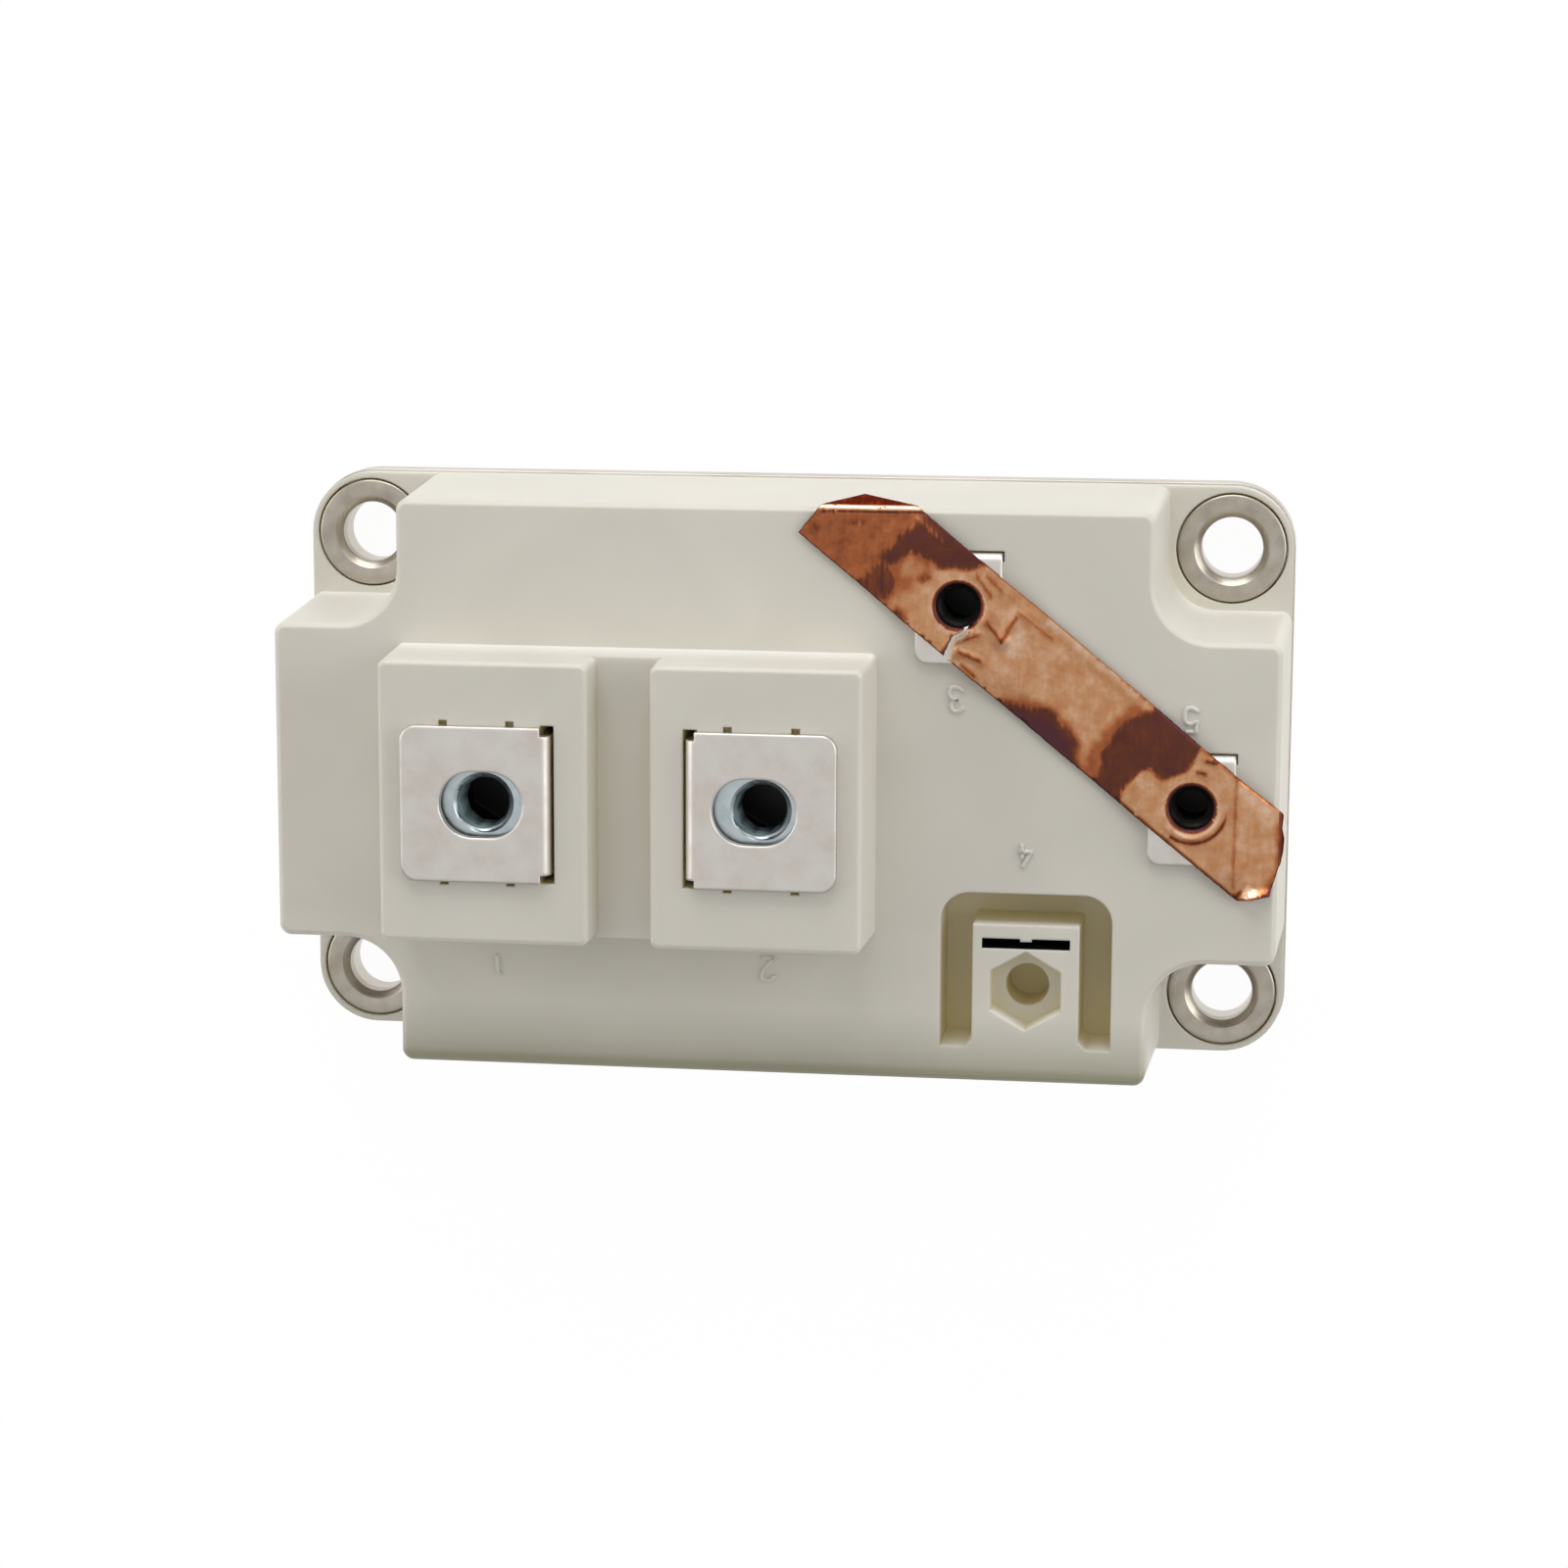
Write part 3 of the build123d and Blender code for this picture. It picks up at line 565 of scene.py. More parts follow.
def plated_nut(name, shade, light, thread, low_gloss, high_gloss):
    """Zinc plate on cold-formed steel: a crystalline bloom on the faces; the tapped thread is rougher and
    coloured darker as painted shade.
    """
    bloom_size = 1.6 * mm
    thread_dulling = 0.16
    material = new_material(name)
    place = add_node(material, "ShaderNodeTexCoord").outputs["Object"]
    bloom = add_node(
        material, "ShaderNodeTexNoise", {"Vector": place, "Scale": 1 / bloom_size, "Detail": 4.0}
    ).outputs["Fac"]
    tint = add_node(
        material, "ShaderNodeValToRGB", {"Fac": bloom}, stops=[(0.3, linear(shade)), (0.7, linear(light))]
    ).outputs["Color"]
    gloss = add_node(
        material, "ShaderNodeValToRGB", {"Fac": bloom},
        stops=[(0.3, grey(low_gloss)), (0.7, grey(high_gloss))],
    ).outputs["Color"]
    tapped = add_node(material, "ShaderNodeAttribute", attribute_name="cut_thread").outputs["Fac"]
    # Painted shade: the thread below its top levels takes the darker thread colour, for the shade deep in the
    # bore.
    thread_shaded = add_node(
        material, "ShaderNodeMix", {0: tapped, 6: tint, 7: linear(thread)}, data_type="RGBA"
    ).outputs[2]
    duller = add_node(
        material, "ShaderNodeMath", {0: tapped, 1: thread_dulling, 2: gloss}, operation="MULTIPLY_ADD"
    ).outputs["Value"]
    metal = add_node(
        material, "ShaderNodeBsdfPrincipled", {"Base Color": thread_shaded, "Metallic": 1.0, "Roughness": duller}
    ).outputs["BSDF"]
    add_node(material, "ShaderNodeOutputMaterial", {"Surface": metal})
    return material


# The M6 nuts are blue-white and bright; the M4 nuts are coloured near-black, and nearly lost in the shade.
blue_zinc = plated_nut("zinc_plate_blue_white", "#AAB6BB", "#C6CFD3", "#59666A", 0.22, 0.34)
nut_group(
    "m6_nuts_threaded", "m6_nuts", blue_zinc, ["main_screw_1", "main_screw_2"],
    across_flats=10 * mm, pitch=1.0 * mm, core_d=4.92 * mm, thread_d=6.0 * mm,
)
near_black_zinc = plated_nut("zinc_plate_near_black", "#262724", "#3A3B37", "#1E201B", 0.3, 0.45)
nut_group(
    "m4_nuts_threaded", "m4_nuts", near_black_zinc, ["aux_screw_3", "aux_screw_5"],
    across_flats=7 * mm, pitch=0.7 * mm, core_d=3.24 * mm, thread_d=4.0 * mm,
)

# Shorting strip: soft copper foil pressed over terminals 3 and 5, its corner folded down over the case edge.
# Cut and torn by hand, creased and tarnished in clouds from rose copper to dark oxide.
# It is laid out flat in millimetres first, and bent into the frame last.
strip_turn = math.radians(-39.2)
strip_along = Vector((math.cos(strip_turn), math.sin(strip_turn)))
strip_across = Vector((-strip_along.y, strip_along.x))
strip_start = -17.3
strip_near = -4.85
strip_hole_r = 2.5
punched_r = 1.95
foil_t = 0.1
foil_cell = 0.3
hole_3 = screw_axis["aux_screw_3"].to_2d() / mm
hole_5 = screw_axis["aux_screw_5"].to_2d() / mm
tab_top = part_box("aux_terminal_3")[1].z / mm
tab_boxes = [
    [corner.to_2d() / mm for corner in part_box(name)] for name in ("aux_terminal_3", "aux_terminal_5")
]
# Where the foil turns down, in mm: over the case edge, at the far end and into its holes.
fold_y, fold_r, fold_turn = 29.54, 0.45, math.radians(82.5)
fold_x, end_r, end_turn = 52.2, 0.3, math.radians(68)
rim_r, rim_turn = 0.12, math.radians(74)


def on_strip(s, t):
    """Point of the flat foil at s along the strip from hole 3 and t across it, in mm."""
    return hole_3 + strip_along * s + strip_across * t


def run(points, step, wobble, seed):
    """Points a step apart along a hand-cut line."""
    draw = random.Random(seed)
    made = []
    for a, b in zip(points, points[1:]):
        count = max(1, round((b - a).length / step))
        normal = Vector((a.y - b.y, b.x - a.x)).normalized()
        for k in range(count):
            sway = draw.uniform(-wobble, wobble) if k else 0.0
            made.append(a.lerp(b, k / count) + normal * sway)
    return made


def ring(middle, radius, count=48, first=0.0, turn=360.0):
    """Points round a hole, from a first angle through a turn in degrees."""
    made = []
    for k in range(count):
        angle = math.radians(first + turn * k / count)
        made.append(middle + Vector((math.cos(angle), math.sin(angle))) * radius)
    return made


# The cut outline runs along the edges, in through the tear, round hole 3 and back out.
cut_wobble = 0.025
tear_step, tear_wobble = 0.25, 0.04
tear_mouth = (on_strip(2.75, -4.88), on_strip(2.1, -4.88))
hole_rim_3 = ring(hole_3, punched_r, first=-46, turn=350)
outline = run(
    [
        tear_mouth[1], on_strip(strip_start, strip_near), on_strip(strip_start, 5.05),
        on_strip(4.0, 5.08), on_strip(34.4, 5.0),
        Vector((53.0, -0.9)), Vector((52.7, -2.2)), Vector((53.3, -3.4)), Vector((53.1, -4.6)),
        Vector((52.3, -6.2)), Vector((51.5, -9.1)), Vector((50.4, -9.35)), Vector((48.3, -9.75)),
        on_strip(39.6, -4.8), on_strip(20.0, -4.9), tear_mouth[0],
    ],
    foil_cell, cut_wobble, seed=3,
)
tear_lip = [tear_mouth[0], on_strip(2.1, -3.6), on_strip(1.95, -2.8), on_strip(2.35, -1.5), hole_rim_3[0]]
outline += run(tear_lip, tear_step, tear_wobble, seed=4)
outline += hole_rim_3
outline += run(
    [hole_rim_3[-1], on_strip(1.95, -1.7), on_strip(1.55, -2.8), on_strip(1.7, -3.6), tear_mouth[1]],
    tear_step, tear_wobble, seed=5,
)
hole_rim_5 = ring(hole_5, punched_r)

# Creases pressed into the foil: ends, height, half width in mm and how much painted shade darkens them.
creases = [
    (on_strip(-9.0, 4.2), on_strip(-5.5, 4.1), 0.10, 0.5, -0.25),
    (on_strip(-0.6, 3.6), on_strip(2.0, 2.9), 0.12, 0.6, 0.3),
    (on_strip(0.2, 4.2), on_strip(2.4, 4.1), 0.10, 0.5, 0.3),
    (on_strip(2.4, 4.1), on_strip(20.0, 4.2), 0.08, 0.6, 0.06),
    (on_strip(5.0, 3.5), on_strip(9.6, 3.55), 0.08, 0.5, 0.2),
    (on_strip(3.2, 0.6), on_strip(5.7, 0.1), 0.26, 1.1, 0.42),
    (on_strip(5.7, 0.1), on_strip(5.2, 3.2), 0.24, 1.0, 0.36),
    (on_strip(3.0, -3.6), on_strip(5.3, -2.9), 0.28, 0.8, 0.45),
    (on_strip(4.2, -4.4), on_strip(6.0, -4.5), 0.18, 0.6, 0.4),
    (on_strip(2.6, -2.4), on_strip(3.5, -0.9), 0.2, 0.7, 0.35),
    (Vector((47.9, 3.2)), Vector((47.75, -8.6)), 0.14, 0.8, 0.2),
    (on_strip(-16.6, -3.0), on_strip(-10.8, 4.6), 0.05, 0.9, 0.0),
    (on_strip(29.4, 2.8), on_strip(30.2, 3.2), 0.15, 0.6, 0.55),
    (on_strip(29.2, 4.1), on_strip(30.2, 4.6), 0.15, 0.6, 0.55),
]


def inside(point, loop):
    """True where a closed loop of points encloses the point."""
    odd = False
    for a, b in zip(loop, loop[1:] + loop[:1]):
        if (a.y > point.y) != (b.y > point.y):
            if point.x < a.x + (b.x - a.x) * (point.y - a.y) / (b.y - a.y):
                odd = not odd
    return odd


def in_foil(point):
    """True where the flat foil has metal."""
    return inside(point, outline) and not inside(point, hole_rim_5)


def off_line(point, a, b):
    """Distance of a point from the stretch between two others."""
    share = intersect_point_line(point, a, b)[1]
    return (point - a.lerp(b, min(max(share, 0.0), 1.0))).length


def off_path(point, path):
    """Distance of a point from a run of joined stretches."""
    return min(off_line(point, a, b) for a, b in zip(path, path[1:]))


def smooth(share):
    """Soft step from 0 to 1."""
    share = min(max(share, 0.0), 1.0)
    return share * share * (3 - 2 * share)


def nearest(points):
    """A lookup of the distance from any point to the nearest of these."""
    tree = kdtree.KDTree(len(points))
    for index, point in enumerate(points):
        tree.insert(point.to_3d(), index)
    tree.balance()
    return lambda point: tree.find(point.to_3d())[2]


# The foil's points: its cut edges, then rows along creases, folds and hole rims,
# then an even grid between them. The distances keep points from crowding.
row_step = 0.25
fold_gap = 0.1
fold_from, fold_count = 7.0, 52
end_from, end_count = -9.0, 36
washer_rows = (2.95, 3.15, 3.35, 3.6, 3.85)
rim_rows = (2.12, 2.3, strip_hole_r, 2.75)
edge_clear = 0.12
grid_edge_clear = 0.18
grid_row_clear = 0.16
grid_rows, grid_columns = 206, 34
foil_points = outline + hole_rim_5
foil_edges = [(k, (k + 1) % len(outline)) for k in range(len(outline))]
foil_edges += [
    (len(outline) + k, len(outline) + (k + 1) % len(hole_rim_5)) for k in range(len(hole_rim_5))
]
from_edge = nearest(foil_points)
rows = [p for a, b, *_ in creases for p in run([a, b], row_step, 0.0, seed=1)[1:]]
for step in range(-3, 8):
    rows += [Vector((fold_from + row_step * k, fold_y + fold_gap * step)) for k in range(fold_count)]
    rows += [Vector((fold_x + fold_gap * step, end_from + row_step * k)) for k in range(end_count)]
for radius in washer_rows:
    rows += ring(hole_5, radius, count=40, first=-150, turn=145)
for middle in (hole_3, hole_5):
    for radius in rim_rows:
        rows += ring(middle, radius)
rows = [p for p in rows if from_edge(p) > edge_clear and in_foil(p)]
from_row = nearest(rows)
for row in range(grid_rows):
    for column in range(grid_columns):
        p = on_strip(strip_start + (row + 0.5) * foil_cell, strip_near + (column + 0.5) * foil_cell)
        if from_edge(p) > grid_edge_clear and from_row(p) > grid_row_clear and in_foil(p):
            rows.append(p)
foil_points += rows
flat_points, _, triangles = delaunay_2d_cdt(foil_points, foil_edges, [], 0, 1e-6, False)[:3]
foil_faces = []
for triangle in triangles:
    middle = (flat_points[triangle[0]] + flat_points[triangle[1]] + flat_points[triangle[2]]) / 3
    if in_foil(middle):
        foil_faces.append(tuple(triangle))

# Heights and reaches of the foil's form, in mm: the gap it rests on, its sag between the tabs, soft bows
# and dents, the tear's curled lip, the ring a washer pressed round hole 5, and the drooping, curled end.
rest_gap = 0.03
sag, sag_reach = 0.5, 5
bow, bow_waves = 0.05, 0.3
dent, dent_waves = 0.02, 1.1
lip_rise, lip_reach = 0.7, 0.7
washer_r, washer_rise, washer_width = 3.15, 0.24, 0.5
droop_x, droop_slope = 47.8, 0.05
curl_y, curl_length, curl_slope = -8.3, 1.2, 0.8
curl_x, curl_blend = 48.6, 0.8


def foil_height(point):
    """Height of the foil: resting on the tabs, sagging to the case between them, creased and lifted."""
    off_tab = min(
        max(low.x - point.x, point.x - high.x, low.y - point.y, point.y - high.y, 0.0)
        for low, high in tab_boxes
    )
    height = tab_top + rest_gap - sag * smooth(off_tab / sag_reach)
    for a, b, rise, reach, _ in creases:
        height += rise * max(0.0, 1 - off_line(point, a, b) / reach)
    height += bow * (1 + noise.noise(Vector((point.x, point.y, 0.0)) * bow_waves))
    height += dent * (1 + noise.noise(Vector((point.x, point.y, 7.0)) * dent_waves))
    if (point - hole_3).length > strip_hole_r:
        height += lip_rise * max(0.0, 1 - off_path(point, tear_lip) / lip_reach) ** 2
    from_5 = point - hole_5
    if from_5.y < 0:
        off_washer = abs(from_5.length - washer_r)
        height += washer_rise * max(0.0, 1 - off_washer / washer_width) * -from_5.y / from_5.length
    if point.x > droop_x:
        height -= droop_slope * (point.x - droop_x)
    curl = max(0.0, min(curl_y - point.y, curl_length))
    height += curl_slope * curl * smooth((point.x - curl_x) / curl_blend)
    return height


def turned(over, radius, steep):
    """How far on and how far down foil reaches that goes over a rounded edge for a length."""
    if over <= 0:
        return over, 0.0
    angle = min(over / radius, steep)
    rest = over - angle * radius
    on = radius * math.sin(angle) + rest * math.cos(angle)
    return on, radius * (1 - math.cos(angle)) + rest * math.sin(angle)


def bent(point):
    """The flat foil's point in the frame: turned into the holes, and folded down over the case edges."""
    x, y, z = point.x, point.y, foil_height(point)
    for middle in (hole_3, hole_5):
        off = point - middle
        on, down = turned(strip_hole_r - off.length, rim_r, rim_turn)
        if down > 0:
            x, y = middle + off.normalized() * (strip_hole_r - on)
            z -= down
    on, down = turned(y - fold_y, fold_r, fold_turn)
    y, z = fold_y + on, z - down
    on, down = turned(x - fold_x, end_r, end_turn)
    x, z = fold_x + on, z - down
    return (x * mm, y * mm, z * mm)


# Tarnish, laid on in order, with painted highlight and shade at the folded corner:
# each patch's outline in strip coordinates, its depth of colour and the width of its edge.
patches = [
    ([(-18.5, -6.0), (-18.5, 6.0), (-3.0, 6.0), (-4.6, 0.0), (-5.8, -6.0)], 0.48, 2.2),
    ([(-9.0, 3.0), (-8.0, 5.6), (-0.9, 5.6), (-0.9, 4.3), (-2.8, 2.4), (-3.9, 1.8), (-6.4, 2.0), (-7.4, 0.5),
      (-8.4, -1.4), (-9.2, -1.6), (-8.9, 1.0)], 0.86, 0.8),
    ([(-8.8, -1.2), (-7.1, -1.9), (-6.3, -3.2), (-6.4, -5.4), (-9.0, -5.4), (-9.6, -4.5), (-8.9, -3.2)],
     0.76, 0.9),
    ([(-7.2, 0.9), (-5.4, 1.3), (-5.0, -0.2), (-6.6, -1.3)], 0.3, 0.8),
    ([(-4.9, 0.2), (-4.0, 0.3), (-4.0, -0.6), (-4.9, -0.7)], 0.62, 0.8),
    ([(-13.9, 0.2), (-12.8, 0.3), (-12.7, -0.7), (-13.8, -0.8)], 0.62, 1.0),
    ([(-16.7, -3.1), (-15.8, -3.0), (-15.7, -3.9), (-16.6, -4.0)], 0.58, 0.8),
    ([(-5.0, -3.9), (-3.0, -4.3), (-3.0, -5.4), (-5.4, -5.4)], 0.62, 0.8),
    ([(9.2, -5.5), (10.0, -4.5), (11.6, -3.5), (13.0, -2.7), (14.6, -2.3), (16.4, -2.4), (17.8, -3.0),
      (19.0, -3.8), (20.6, -5.5)], 1.0, 2.2),
    ([(19.8, 3.6), (19.6, 0.6), (19.7, -1.8), (20.3, -5.4), (23.0, -5.4), (22.0, 0.0), (22.0, 4.4)],
     0.46, 1.1),
    ([(22.0, 5.6), (21.2, 3.4), (20.7, 1.8), (20.6, -0.2), (21.2, -2.2), (22.2, -4.0), (22.4, -5.6),
      (25.4, -5.6), (25.0, -3.2), (25.0, -1.8), (25.6, -0.2), (26.8, 0.0), (28.0, 0.9), (28.6, 2.0),
      (28.5, 3.2), (27.6, 5.6)], 0.84, 0.55),
    ([(8.0, 4.35), (8.0, 5.6), (20.2, 5.6), (19.4, 4.35)], 0.07, 0.5),
    ([(6.2, -0.8), (7.6, -0.2), (7.4, 2.4), (6.0, 2.4)], 0.08, 1.2),
    ([(36.0, 3.6), (38.6, 2.6), (38.0, 5.0), (35.0, 5.3), (33.6, 4.4)], 0.08, 1.2),
    ([(38.9, 3.9), (41.8, 0.5), (42.6, -2.6), (44.6, -3.0), (43.4, 1.4), (39.6, 5.6)], 0.46, 0.8),
    # The next two patches are painted light on the folded-over corner: a painted highlight on its turned-up
    # underside and painted shade in the gap beside it.
    ([(40.9, -2.9), (42.6, -2.9), (41.4, -5.4), (40.6, -5.4)], 0.0, 0.3),
    ([(40.2, -4.9), (40.9, -3.4), (40.9, -5.4)], 0.9, 0.3),
]
patches = [([on_strip(s, t) for s, t in loop], depth, edge) for loop, depth, edge in patches]
# Tarnish, painted shade and painted highlight outside the patches: how far each cause reaches in mm, and how
# deep a colour it leaves.
bare_tarnish = 0.2
sway_reach, sway_waves = 0.5, 0.7
crease_shade_reach = 0.24
rim_reach, rim_shade = 0.05, 0.95
rubbed_reach, rubbed_fade, rubbed_tarnish, rubbed_share = 0.6, 0.25, 0.12, 0.75
cut_reach, cut_edge_shade = 0.02, 0.45
fold_start, fold_highlight_end, fold_flap, flap_tarnish = 0.05, 0.55, 0.65, 0.66
fold_line, fold_line_shade = 0.25, 0.8
lit_clean_lip = 0.3
washer_ring_side = -0.6
ring_shade_r, ring_shade_width, ring_shade = 3.6, 0.3, 0.65
ring_highlight_r, ring_highlight_width, ring_highlight = 2.9, 0.2, 0.15


def tarnish_at(point):
    """Depth of tarnish and painted shade, from 0 for rose copper or a painted highlight to 1 for dark oxide
    or deep painted shade.
    """
    sway = Vector((
        noise.noise(Vector((point.x, point.y, 3.0)) * sway_waves),
        noise.noise(Vector((point.x, point.y, 5.0)) * sway_waves),
    ))
    swayed = point + sway * sway_reach
    depth = bare_tarnish
    for loop, patch_depth, edge in patches:
        off = off_path(swayed, loop + loop[:1])
        if off < edge or inside(swayed, loop):
            share = smooth(0.5 + (off if inside(swayed, loop) else -off) / edge)
            depth += (patch_depth - depth) * share
    for a, b, _, _, crease_shade in creases:
        depth += crease_shade * max(0.0, 1 - off_line(point, a, b) / crease_shade_reach)
    # Painted shade darkens the cut edges, the turned-in rims, a line just inside the fold and the turned-down
    # end; a painted highlight keeps the top of the fold pale, and the tear's curled lip stays pale, clean
    # metal with a painted highlight.
    from_rim = min((point - hole_3).length, (point - hole_5).length) - strip_hole_r
    if from_rim < rim_reach:
        depth = rim_shade
    elif from_rim < rubbed_reach:
        rubbed = smooth((rubbed_reach - from_rim) / rubbed_fade)
        depth += (rubbed_tarnish - depth) * rubbed_share * rubbed
    elif from_edge(point) < cut_reach:
        depth += cut_edge_shade
    over_fold = point.y - fold_y
    if fold_start < over_fold < fold_highlight_end:
        depth = 0.0
    elif over_fold > fold_flap:
        depth = flap_tarnish
    elif -fold_line < over_fold < -fold_start or point.x > fold_x + fold_start:
        depth = fold_line_shade
    if from_rim > rim_reach and off_path(point, tear_lip) < lit_clean_lip:
        depth = 0.0
    # Painted shadow and highlight on the near side of hole 5: a dark ring outside the washer's pressed ring
    # and a pale one inside it.
    from_5 = point - hole_5
    if from_5.y < 0 and from_5.x / from_5.length > washer_ring_side:
        arc = min(1.0, -2 * from_5.y / from_5.length)
        depth += ring_shade * max(0.0, 1 - abs(from_5.length - ring_shade_r) / ring_shade_width) * arc
        depth -= ring_highlight * max(0.0, 1 - abs(from_5.length - ring_highlight_r) / ring_highlight_width) * arc
    return min(max(depth, 0.0), 1.0)


# Tarnished copper: the depth of oxide and painted shade clouded by fine mottle, with streaks along the edges
# of dark patches.
streak_length = 2.4 * mm
streak_width = 0.35 * mm
streak_swing = 1.2
mottle_size = 1.6 * mm
mottle_share = 0.5
crumple_size = 0.9 * mm
crumple_depth = 0.04 * mm
tarnished_copper = new_material("copper_foil_tarnished")
place = add_node(tarnished_copper, "ShaderNodeTexCoord").outputs["Object"]
oxide = add_node(tarnished_copper, "ShaderNodeAttribute", attribute_name="tarnish_and_shade").outputs["Fac"]
mottle = add_node(
    tarnished_copper, "ShaderNodeTexNoise",
    {"Vector": place, "Scale": 1 / mottle_size, "Detail": 6.0, "Roughness": 0.65},
).outputs["Fac"]
clouded_oxide = add_node(
    tarnished_copper, "ShaderNodeMath", {0: mottle, 1: mottle_share, 2: oxide}, operation="MULTIPLY_ADD"
).outputs["Value"]
wiped = add_node(
    tarnished_copper, "ShaderNodeMapping",
    {"Vector": place, "Scale": (1 / streak_width, 1 / streak_length, 1 / streak_length)},
).outputs["Vector"]
streaks = add_node(
    tarnished_copper, "ShaderNodeTexNoise", {"Vector": wiped, "Scale": 1.0, "Detail": 2.0}
).outputs["Fac"]
patch_edge = add_node(
    tarnished_copper, "ShaderNodeValToRGB", {"Fac": oxide},
    stops=[(0.3, grey(0.08)), (0.52, grey(0.08)), (0.6, grey(0.8)), (0.75, grey(0.9)), (0.86, grey(0.06))],
).outputs["Color"]
swing = add_node(
    tarnished_copper, "ShaderNodeMath",
    {0: streaks, 1: streak_swing, 2: -streak_swing / 2}, operation="MULTIPLY_ADD",
).outputs["Value"]
streaked = add_node(
    tarnished_copper, "ShaderNodeMath", {0: swing, 1: patch_edge, 2: clouded_oxide}, operation="MULTIPLY_ADD"
).outputs["Value"]
depth = add_node(
    tarnished_copper, "ShaderNodeMath",
    {0: streaked, 1: mottle_share / 2}, operation="SUBTRACT", use_clamp=True,
).outputs["Value"]
tint = add_node(
    tarnished_copper, "ShaderNodeValToRGB", {"Fac": depth},
    stops=[
        (0.0, linear("#E2C0A8")), (0.2, linear("#C8946B")), (0.42, linear("#AC653F")),
        (0.62, linear("#7A4530")), (0.84, linear("#64392D")), (1.0, linear("#56343A")),
    ],
).outputs["Color"]
gloss = add_node(
    tarnished_copper, "ShaderNodeValToRGB", {"Fac": depth}, stops=[(0.0, grey(0.28)), (1.0, grey(0.5))]
).outputs["Color"]
crumple = add_node(
    tarnished_copper, "ShaderNodeTexNoise", {"Vector": place, "Scale": 1 / crumple_size, "Detail": 3.0}
).outputs["Fac"]
relief = add_node(
    tarnished_copper, "ShaderNodeBump", {"Height": crumple, "Strength": 0.3, "Distance": crumple_depth}
).outputs["Normal"]
metal = add_node(
    tarnished_copper, "ShaderNodeBsdfPrincipled",
    {
        "Base Color": tint, "Metallic": 1.0, "Roughness": gloss, "Normal": relief,
        "Specular Tint": linear("#B07A62"),
    },
).outputs["BSDF"]
add_node(tarnished_copper, "ShaderNodeOutputMaterial", {"Surface": metal})

foil = make_piece(
    "copper_strip", [bent(p) for p in flat_points], foil_faces,
    tarnished_copper, ["shorting_strip"], sharp_angle=50,
)
tarnish_and_shade = foil.data.attributes.new("tarnish_and_shade", "FLOAT", "POINT")
tarnish_and_shade.data.foreach_set("value", [tarnish_at(p) for p in flat_points])
thickness = foil.modifiers.new("foil thickness", "SOLIDIFY")
thickness.thickness = foil_t * mm
thickness.offset = 1.0

# Circuit inside the closed case: copper-clad ceramic substrates soldered to the base plate,
# chips, bond wires and leads under soft gel, and the glue line at the foot of the case.


def clouded(name, shade, light, patch, metallic, roughness):
    """A finish that drifts between two close colours over patches of a real size."""
    material = new_material(name)
    place = add_node(material, "ShaderNodeTexCoord").outputs["Object"]
    drift = add_node(
        material, "ShaderNodeTexNoise", {"Vector": place, "Scale": 1 / patch, "Detail": 4.0}
    ).outputs["Fac"]
    tint = add_node(
        material, "ShaderNodeValToRGB", {"Fac": drift}, stops=[(0.3, linear(shade)), (0.7, linear(light))]
    ).outputs["Color"]
    gloss = add_node(
        material, "ShaderNodeValToRGB", {"Fac": drift},
        stops=[(0.3, grey(roughness)), (0.7, grey(roughness + 0.1))],
    ).outputs["Color"]
    surface = add_node(
        material, "ShaderNodeBsdfPrincipled", {"Base Color": tint, "Metallic": metallic, "Roughness": gloss}
    ).outputs["BSDF"]
    add_node(material, "ShaderNodeOutputMaterial", {"Surface": surface})
    return material


sides = ("left", "right")
bonded_copper = clouded("copper_bonded_bare", "#B4714C", "#CF9774", 4 * mm, 1.0, 0.3)
dress(["substrate_back_" + side for side in sides], bonded_copper)
dress(["substrate_circuit_" + side for side in sides] + ["control_leads"], bonded_copper)
fired_alumina = clouded("alumina_fired", "#E8E5DC", "#F2F0EA", 2 * mm, 0.0, 0.4)
dress(["substrate_ceramic_" + side for side in sides], fired_alumina)
tin_solder = clouded("tin_solder_reflowed", "#A8AAAC", "#C4C6C8", 3 * mm, 1.0, 0.35)
dress(["substrate_solder_" + side for side in sides], tin_solder)
dress(["igbt_chips", "diode_chips"], clouded("silicon_metallised", "#8F9498", "#B2B6BA", 2 * mm, 1.0, 0.2))
dress(["bond_wires"], clouded("aluminium_drawn", "#C8CACC", "#DDDEE0", 0.5 * mm, 1.0, 0.25))
dress(["adhesive_seal"], clouded("silicone_adhesive_cured", "#8C8C8A", "#9C9C9A", 2 * mm, 0.0, 0.5))
dress(["silicone_gel"], clouded("silicone_gel_soft", "#CFCDC4", "#DAD8D0", 8 * mm, 0.0, 0.15))

# Studio: a plain white sweep to lie on, a broad low light from the far side, weaker ones at both ends.
# The sweep shows white to the camera and still takes the module's soft shadow.
floor_half = 3.0
floor_mesh = bpy.data.meshes.new("floor")
floor_corners = [(x * floor_half, y * floor_half, 0) for x, y in ((-1, -1), (1, -1), (1, 1), (-1, 1))]
floor_mesh.from_pydata(floor_corners, [], [(0, 1, 2, 3)])
floor = bpy.data.objects.new("floor", floor_mesh)
bpy.context.scene.collection.objects.link(floor)


def looking_rays(owner):
    """1 for rays that show what lies behind: straight from the camera or through something clear."""
    rays = add_node(owner, "ShaderNodeLightPath").outputs
    return add_node(
        owner, "ShaderNodeMath",
        {0: rays["Is Camera Ray"], 1: rays["Is Transmission Ray"]}, operation="MAXIMUM",
    ).outputs["Value"]


def mirrored_rays(owner):
    """1 for rays that a shiny surface sends back into the room."""
    return add_node(owner, "ShaderNodeLightPath").outputs["Is Glossy Ray"]


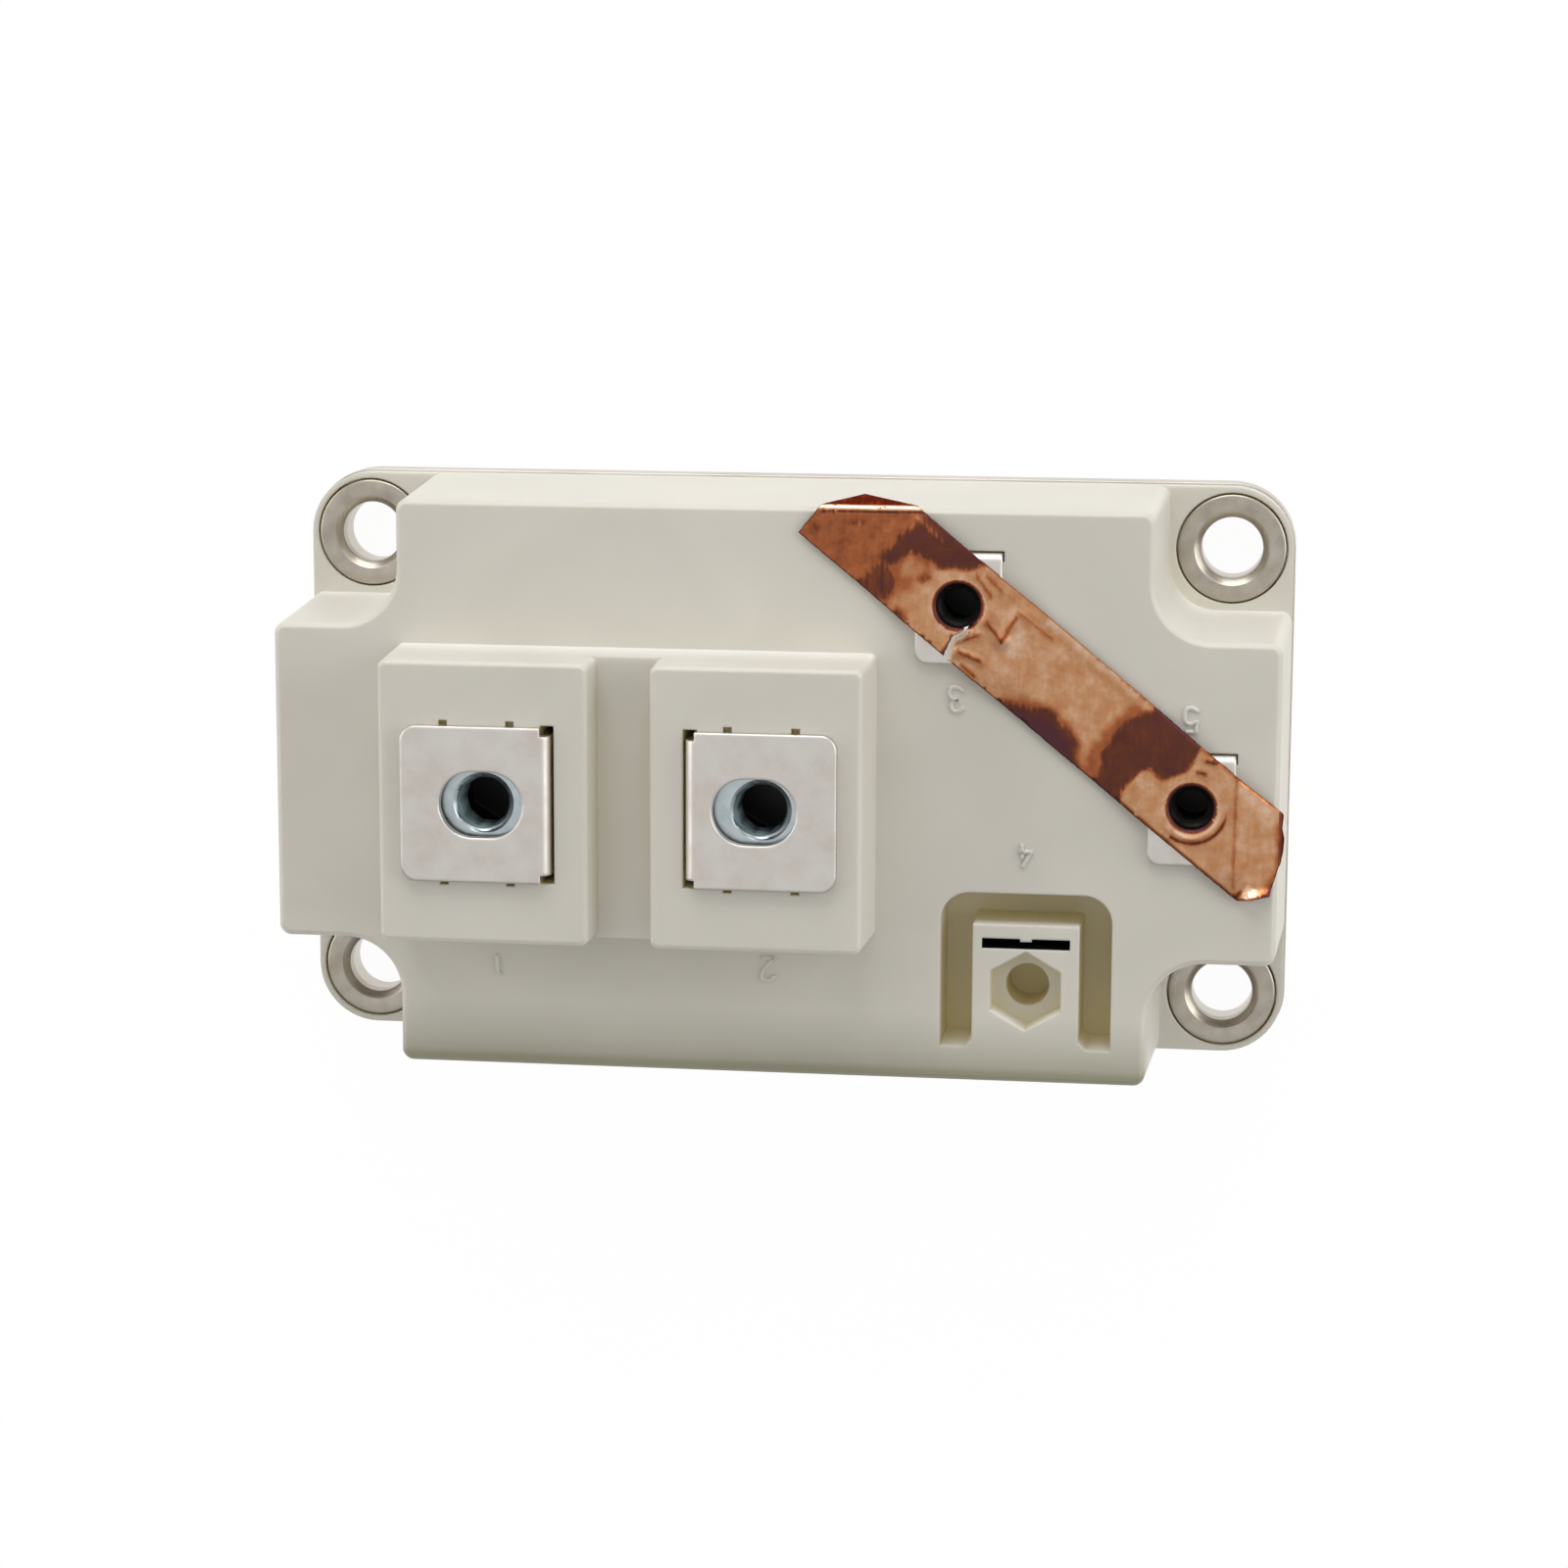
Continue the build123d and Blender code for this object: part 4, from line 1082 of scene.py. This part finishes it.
# White paper, that glows to the eye and in mirrors but lights the module only by what falls on it.
sweep_glow = 0.94
paper_white = 1.02
fibre_size = 8 * mm
white_sweep = new_material("paper_sweep_white")
place = add_node(white_sweep, "ShaderNodeTexCoord").outputs["Object"]
fibre = add_node(white_sweep, "ShaderNodeTexNoise", {"Vector": place, "Scale": 1 / fibre_size}).outputs["Fac"]
tint = add_node(
    white_sweep, "ShaderNodeValToRGB", {"Fac": fibre},
    stops=[(0.3, linear("#F4F4F3")), (0.7, linear("#F7F7F6"))],
).outputs["Color"]
paper = add_node(white_sweep, "ShaderNodeBsdfDiffuse", {"Color": tint}).outputs["BSDF"]
glow = add_node(
    white_sweep, "ShaderNodeEmission", {"Color": grey(1.0), "Strength": paper_white}
).outputs["Emission"]
seen = add_node(
    white_sweep, "ShaderNodeMath",
    {0: looking_rays(white_sweep), 1: mirrored_rays(white_sweep)}, operation="MAXIMUM",
).outputs["Value"]
share = add_node(
    white_sweep, "ShaderNodeMath", {0: seen, 1: sweep_glow}, operation="MULTIPLY"
).outputs["Value"]
both = add_node(white_sweep, "ShaderNodeMixShader", {"Fac": share, 1: paper, 2: glow}).outputs["Shader"]
add_node(white_sweep, "ShaderNodeOutputMaterial", {"Surface": both})
floor_mesh.materials.append(white_sweep)

# What the metal mirrors: bright towards the window, dim on the near side, dark where the photographer stood.
fill_level = 0.49
window_side = (0.10, 0.62, 0.78)
photographer = (0.126, 0.167, 0.978)
shade_from, shade_full, shade_level = 0.972, 0.994, 0.4
studio = bpy.data.worlds.new("studio")
studio.use_nodes = True
studio.node_tree.nodes.clear()
towards = add_node(studio, "ShaderNodeTexCoord").outputs["Generated"]
facing = add_node(
    studio, "ShaderNodeVectorMath", {0: towards, 1: window_side}, operation="DOT_PRODUCT"
).outputs["Value"]
room = add_node(
    studio, "ShaderNodeValToRGB", {"Fac": facing},
    stops=[(0.0, grey(0.5)), (0.45, grey(0.7)), (0.85, grey(1.0))],
).outputs["Color"]
near = add_node(
    studio, "ShaderNodeVectorMath", {0: towards, 1: photographer}, operation="DOT_PRODUCT"
).outputs["Value"]
shaded = add_node(
    studio, "ShaderNodeMapRange",
    {"Value": near, "From Min": shade_from, "From Max": shade_full, "To Min": 1.0, "To Max": shade_level},
).outputs["Result"]
mirrored = add_node(studio, "ShaderNodeMath", {0: room, 1: shaded}, operation="MULTIPLY").outputs["Value"]
unlit = add_node(studio, "ShaderNodeMix", {0: mirrored_rays(studio), 2: fill_level, 3: mirrored}).outputs[0]
level = add_node(studio, "ShaderNodeMix", {0: looking_rays(studio), 2: unlit, 3: 1.0}).outputs[0]
backdrop = add_node(
    studio, "ShaderNodeBackground", {"Color": grey(1.0), "Strength": level}
).outputs["Background"]
add_node(studio, "ShaderNodeOutputWorld", {"Surface": backdrop})
bpy.context.scene.world = studio

lamp_width = 0.60
lamp_aim = Vector((0, 0, 15 * mm))
for name, spot, watts in (
    ("window_light", (-0.05, 0.75, 0.24), 3.4),
    ("right_light", (0.75, 0.15, 0.28), 2.4),
    ("left_light", (-0.75, 0.10, 0.30), 1.6),
):
    lamp = bpy.data.lights.new(name, "AREA")
    lamp.shape = "SQUARE"
    lamp.size = lamp_width
    lamp.energy = watts
    light = bpy.data.objects.new(name, lamp)
    light.location = spot
    light.rotation_mode = "QUATERNION"
    light.rotation_quaternion = (lamp_aim - Vector(spot)).to_track_quat("-Z", "Y")
    bpy.context.scene.collection.objects.link(light)

# Camera: above the module and a little to its upper right.
# Its place and lens were found from the package's known sizes in the photograph.
photo_width = 1600
focal_pixels = 4005.7
sensor_width = 36.0
lens_camera = bpy.data.cameras.new("camera")
lens_camera.sensor_width = sensor_width
lens_camera.lens = focal_pixels / photo_width * sensor_width
camera = bpy.data.objects.new("camera", lens_camera)
camera.rotation_mode = "QUATERNION"
camera.rotation_quaternion = Quaternion((0.993946, -0.087264, 0.066302, 0.007825))
camera.location = (54.34 * mm, 71.68 * mm, 420.27 * mm)
bpy.context.scene.collection.objects.link(camera)
bpy.context.scene.camera = camera
bpy.context.scene.view_settings.view_transform = "Standard"
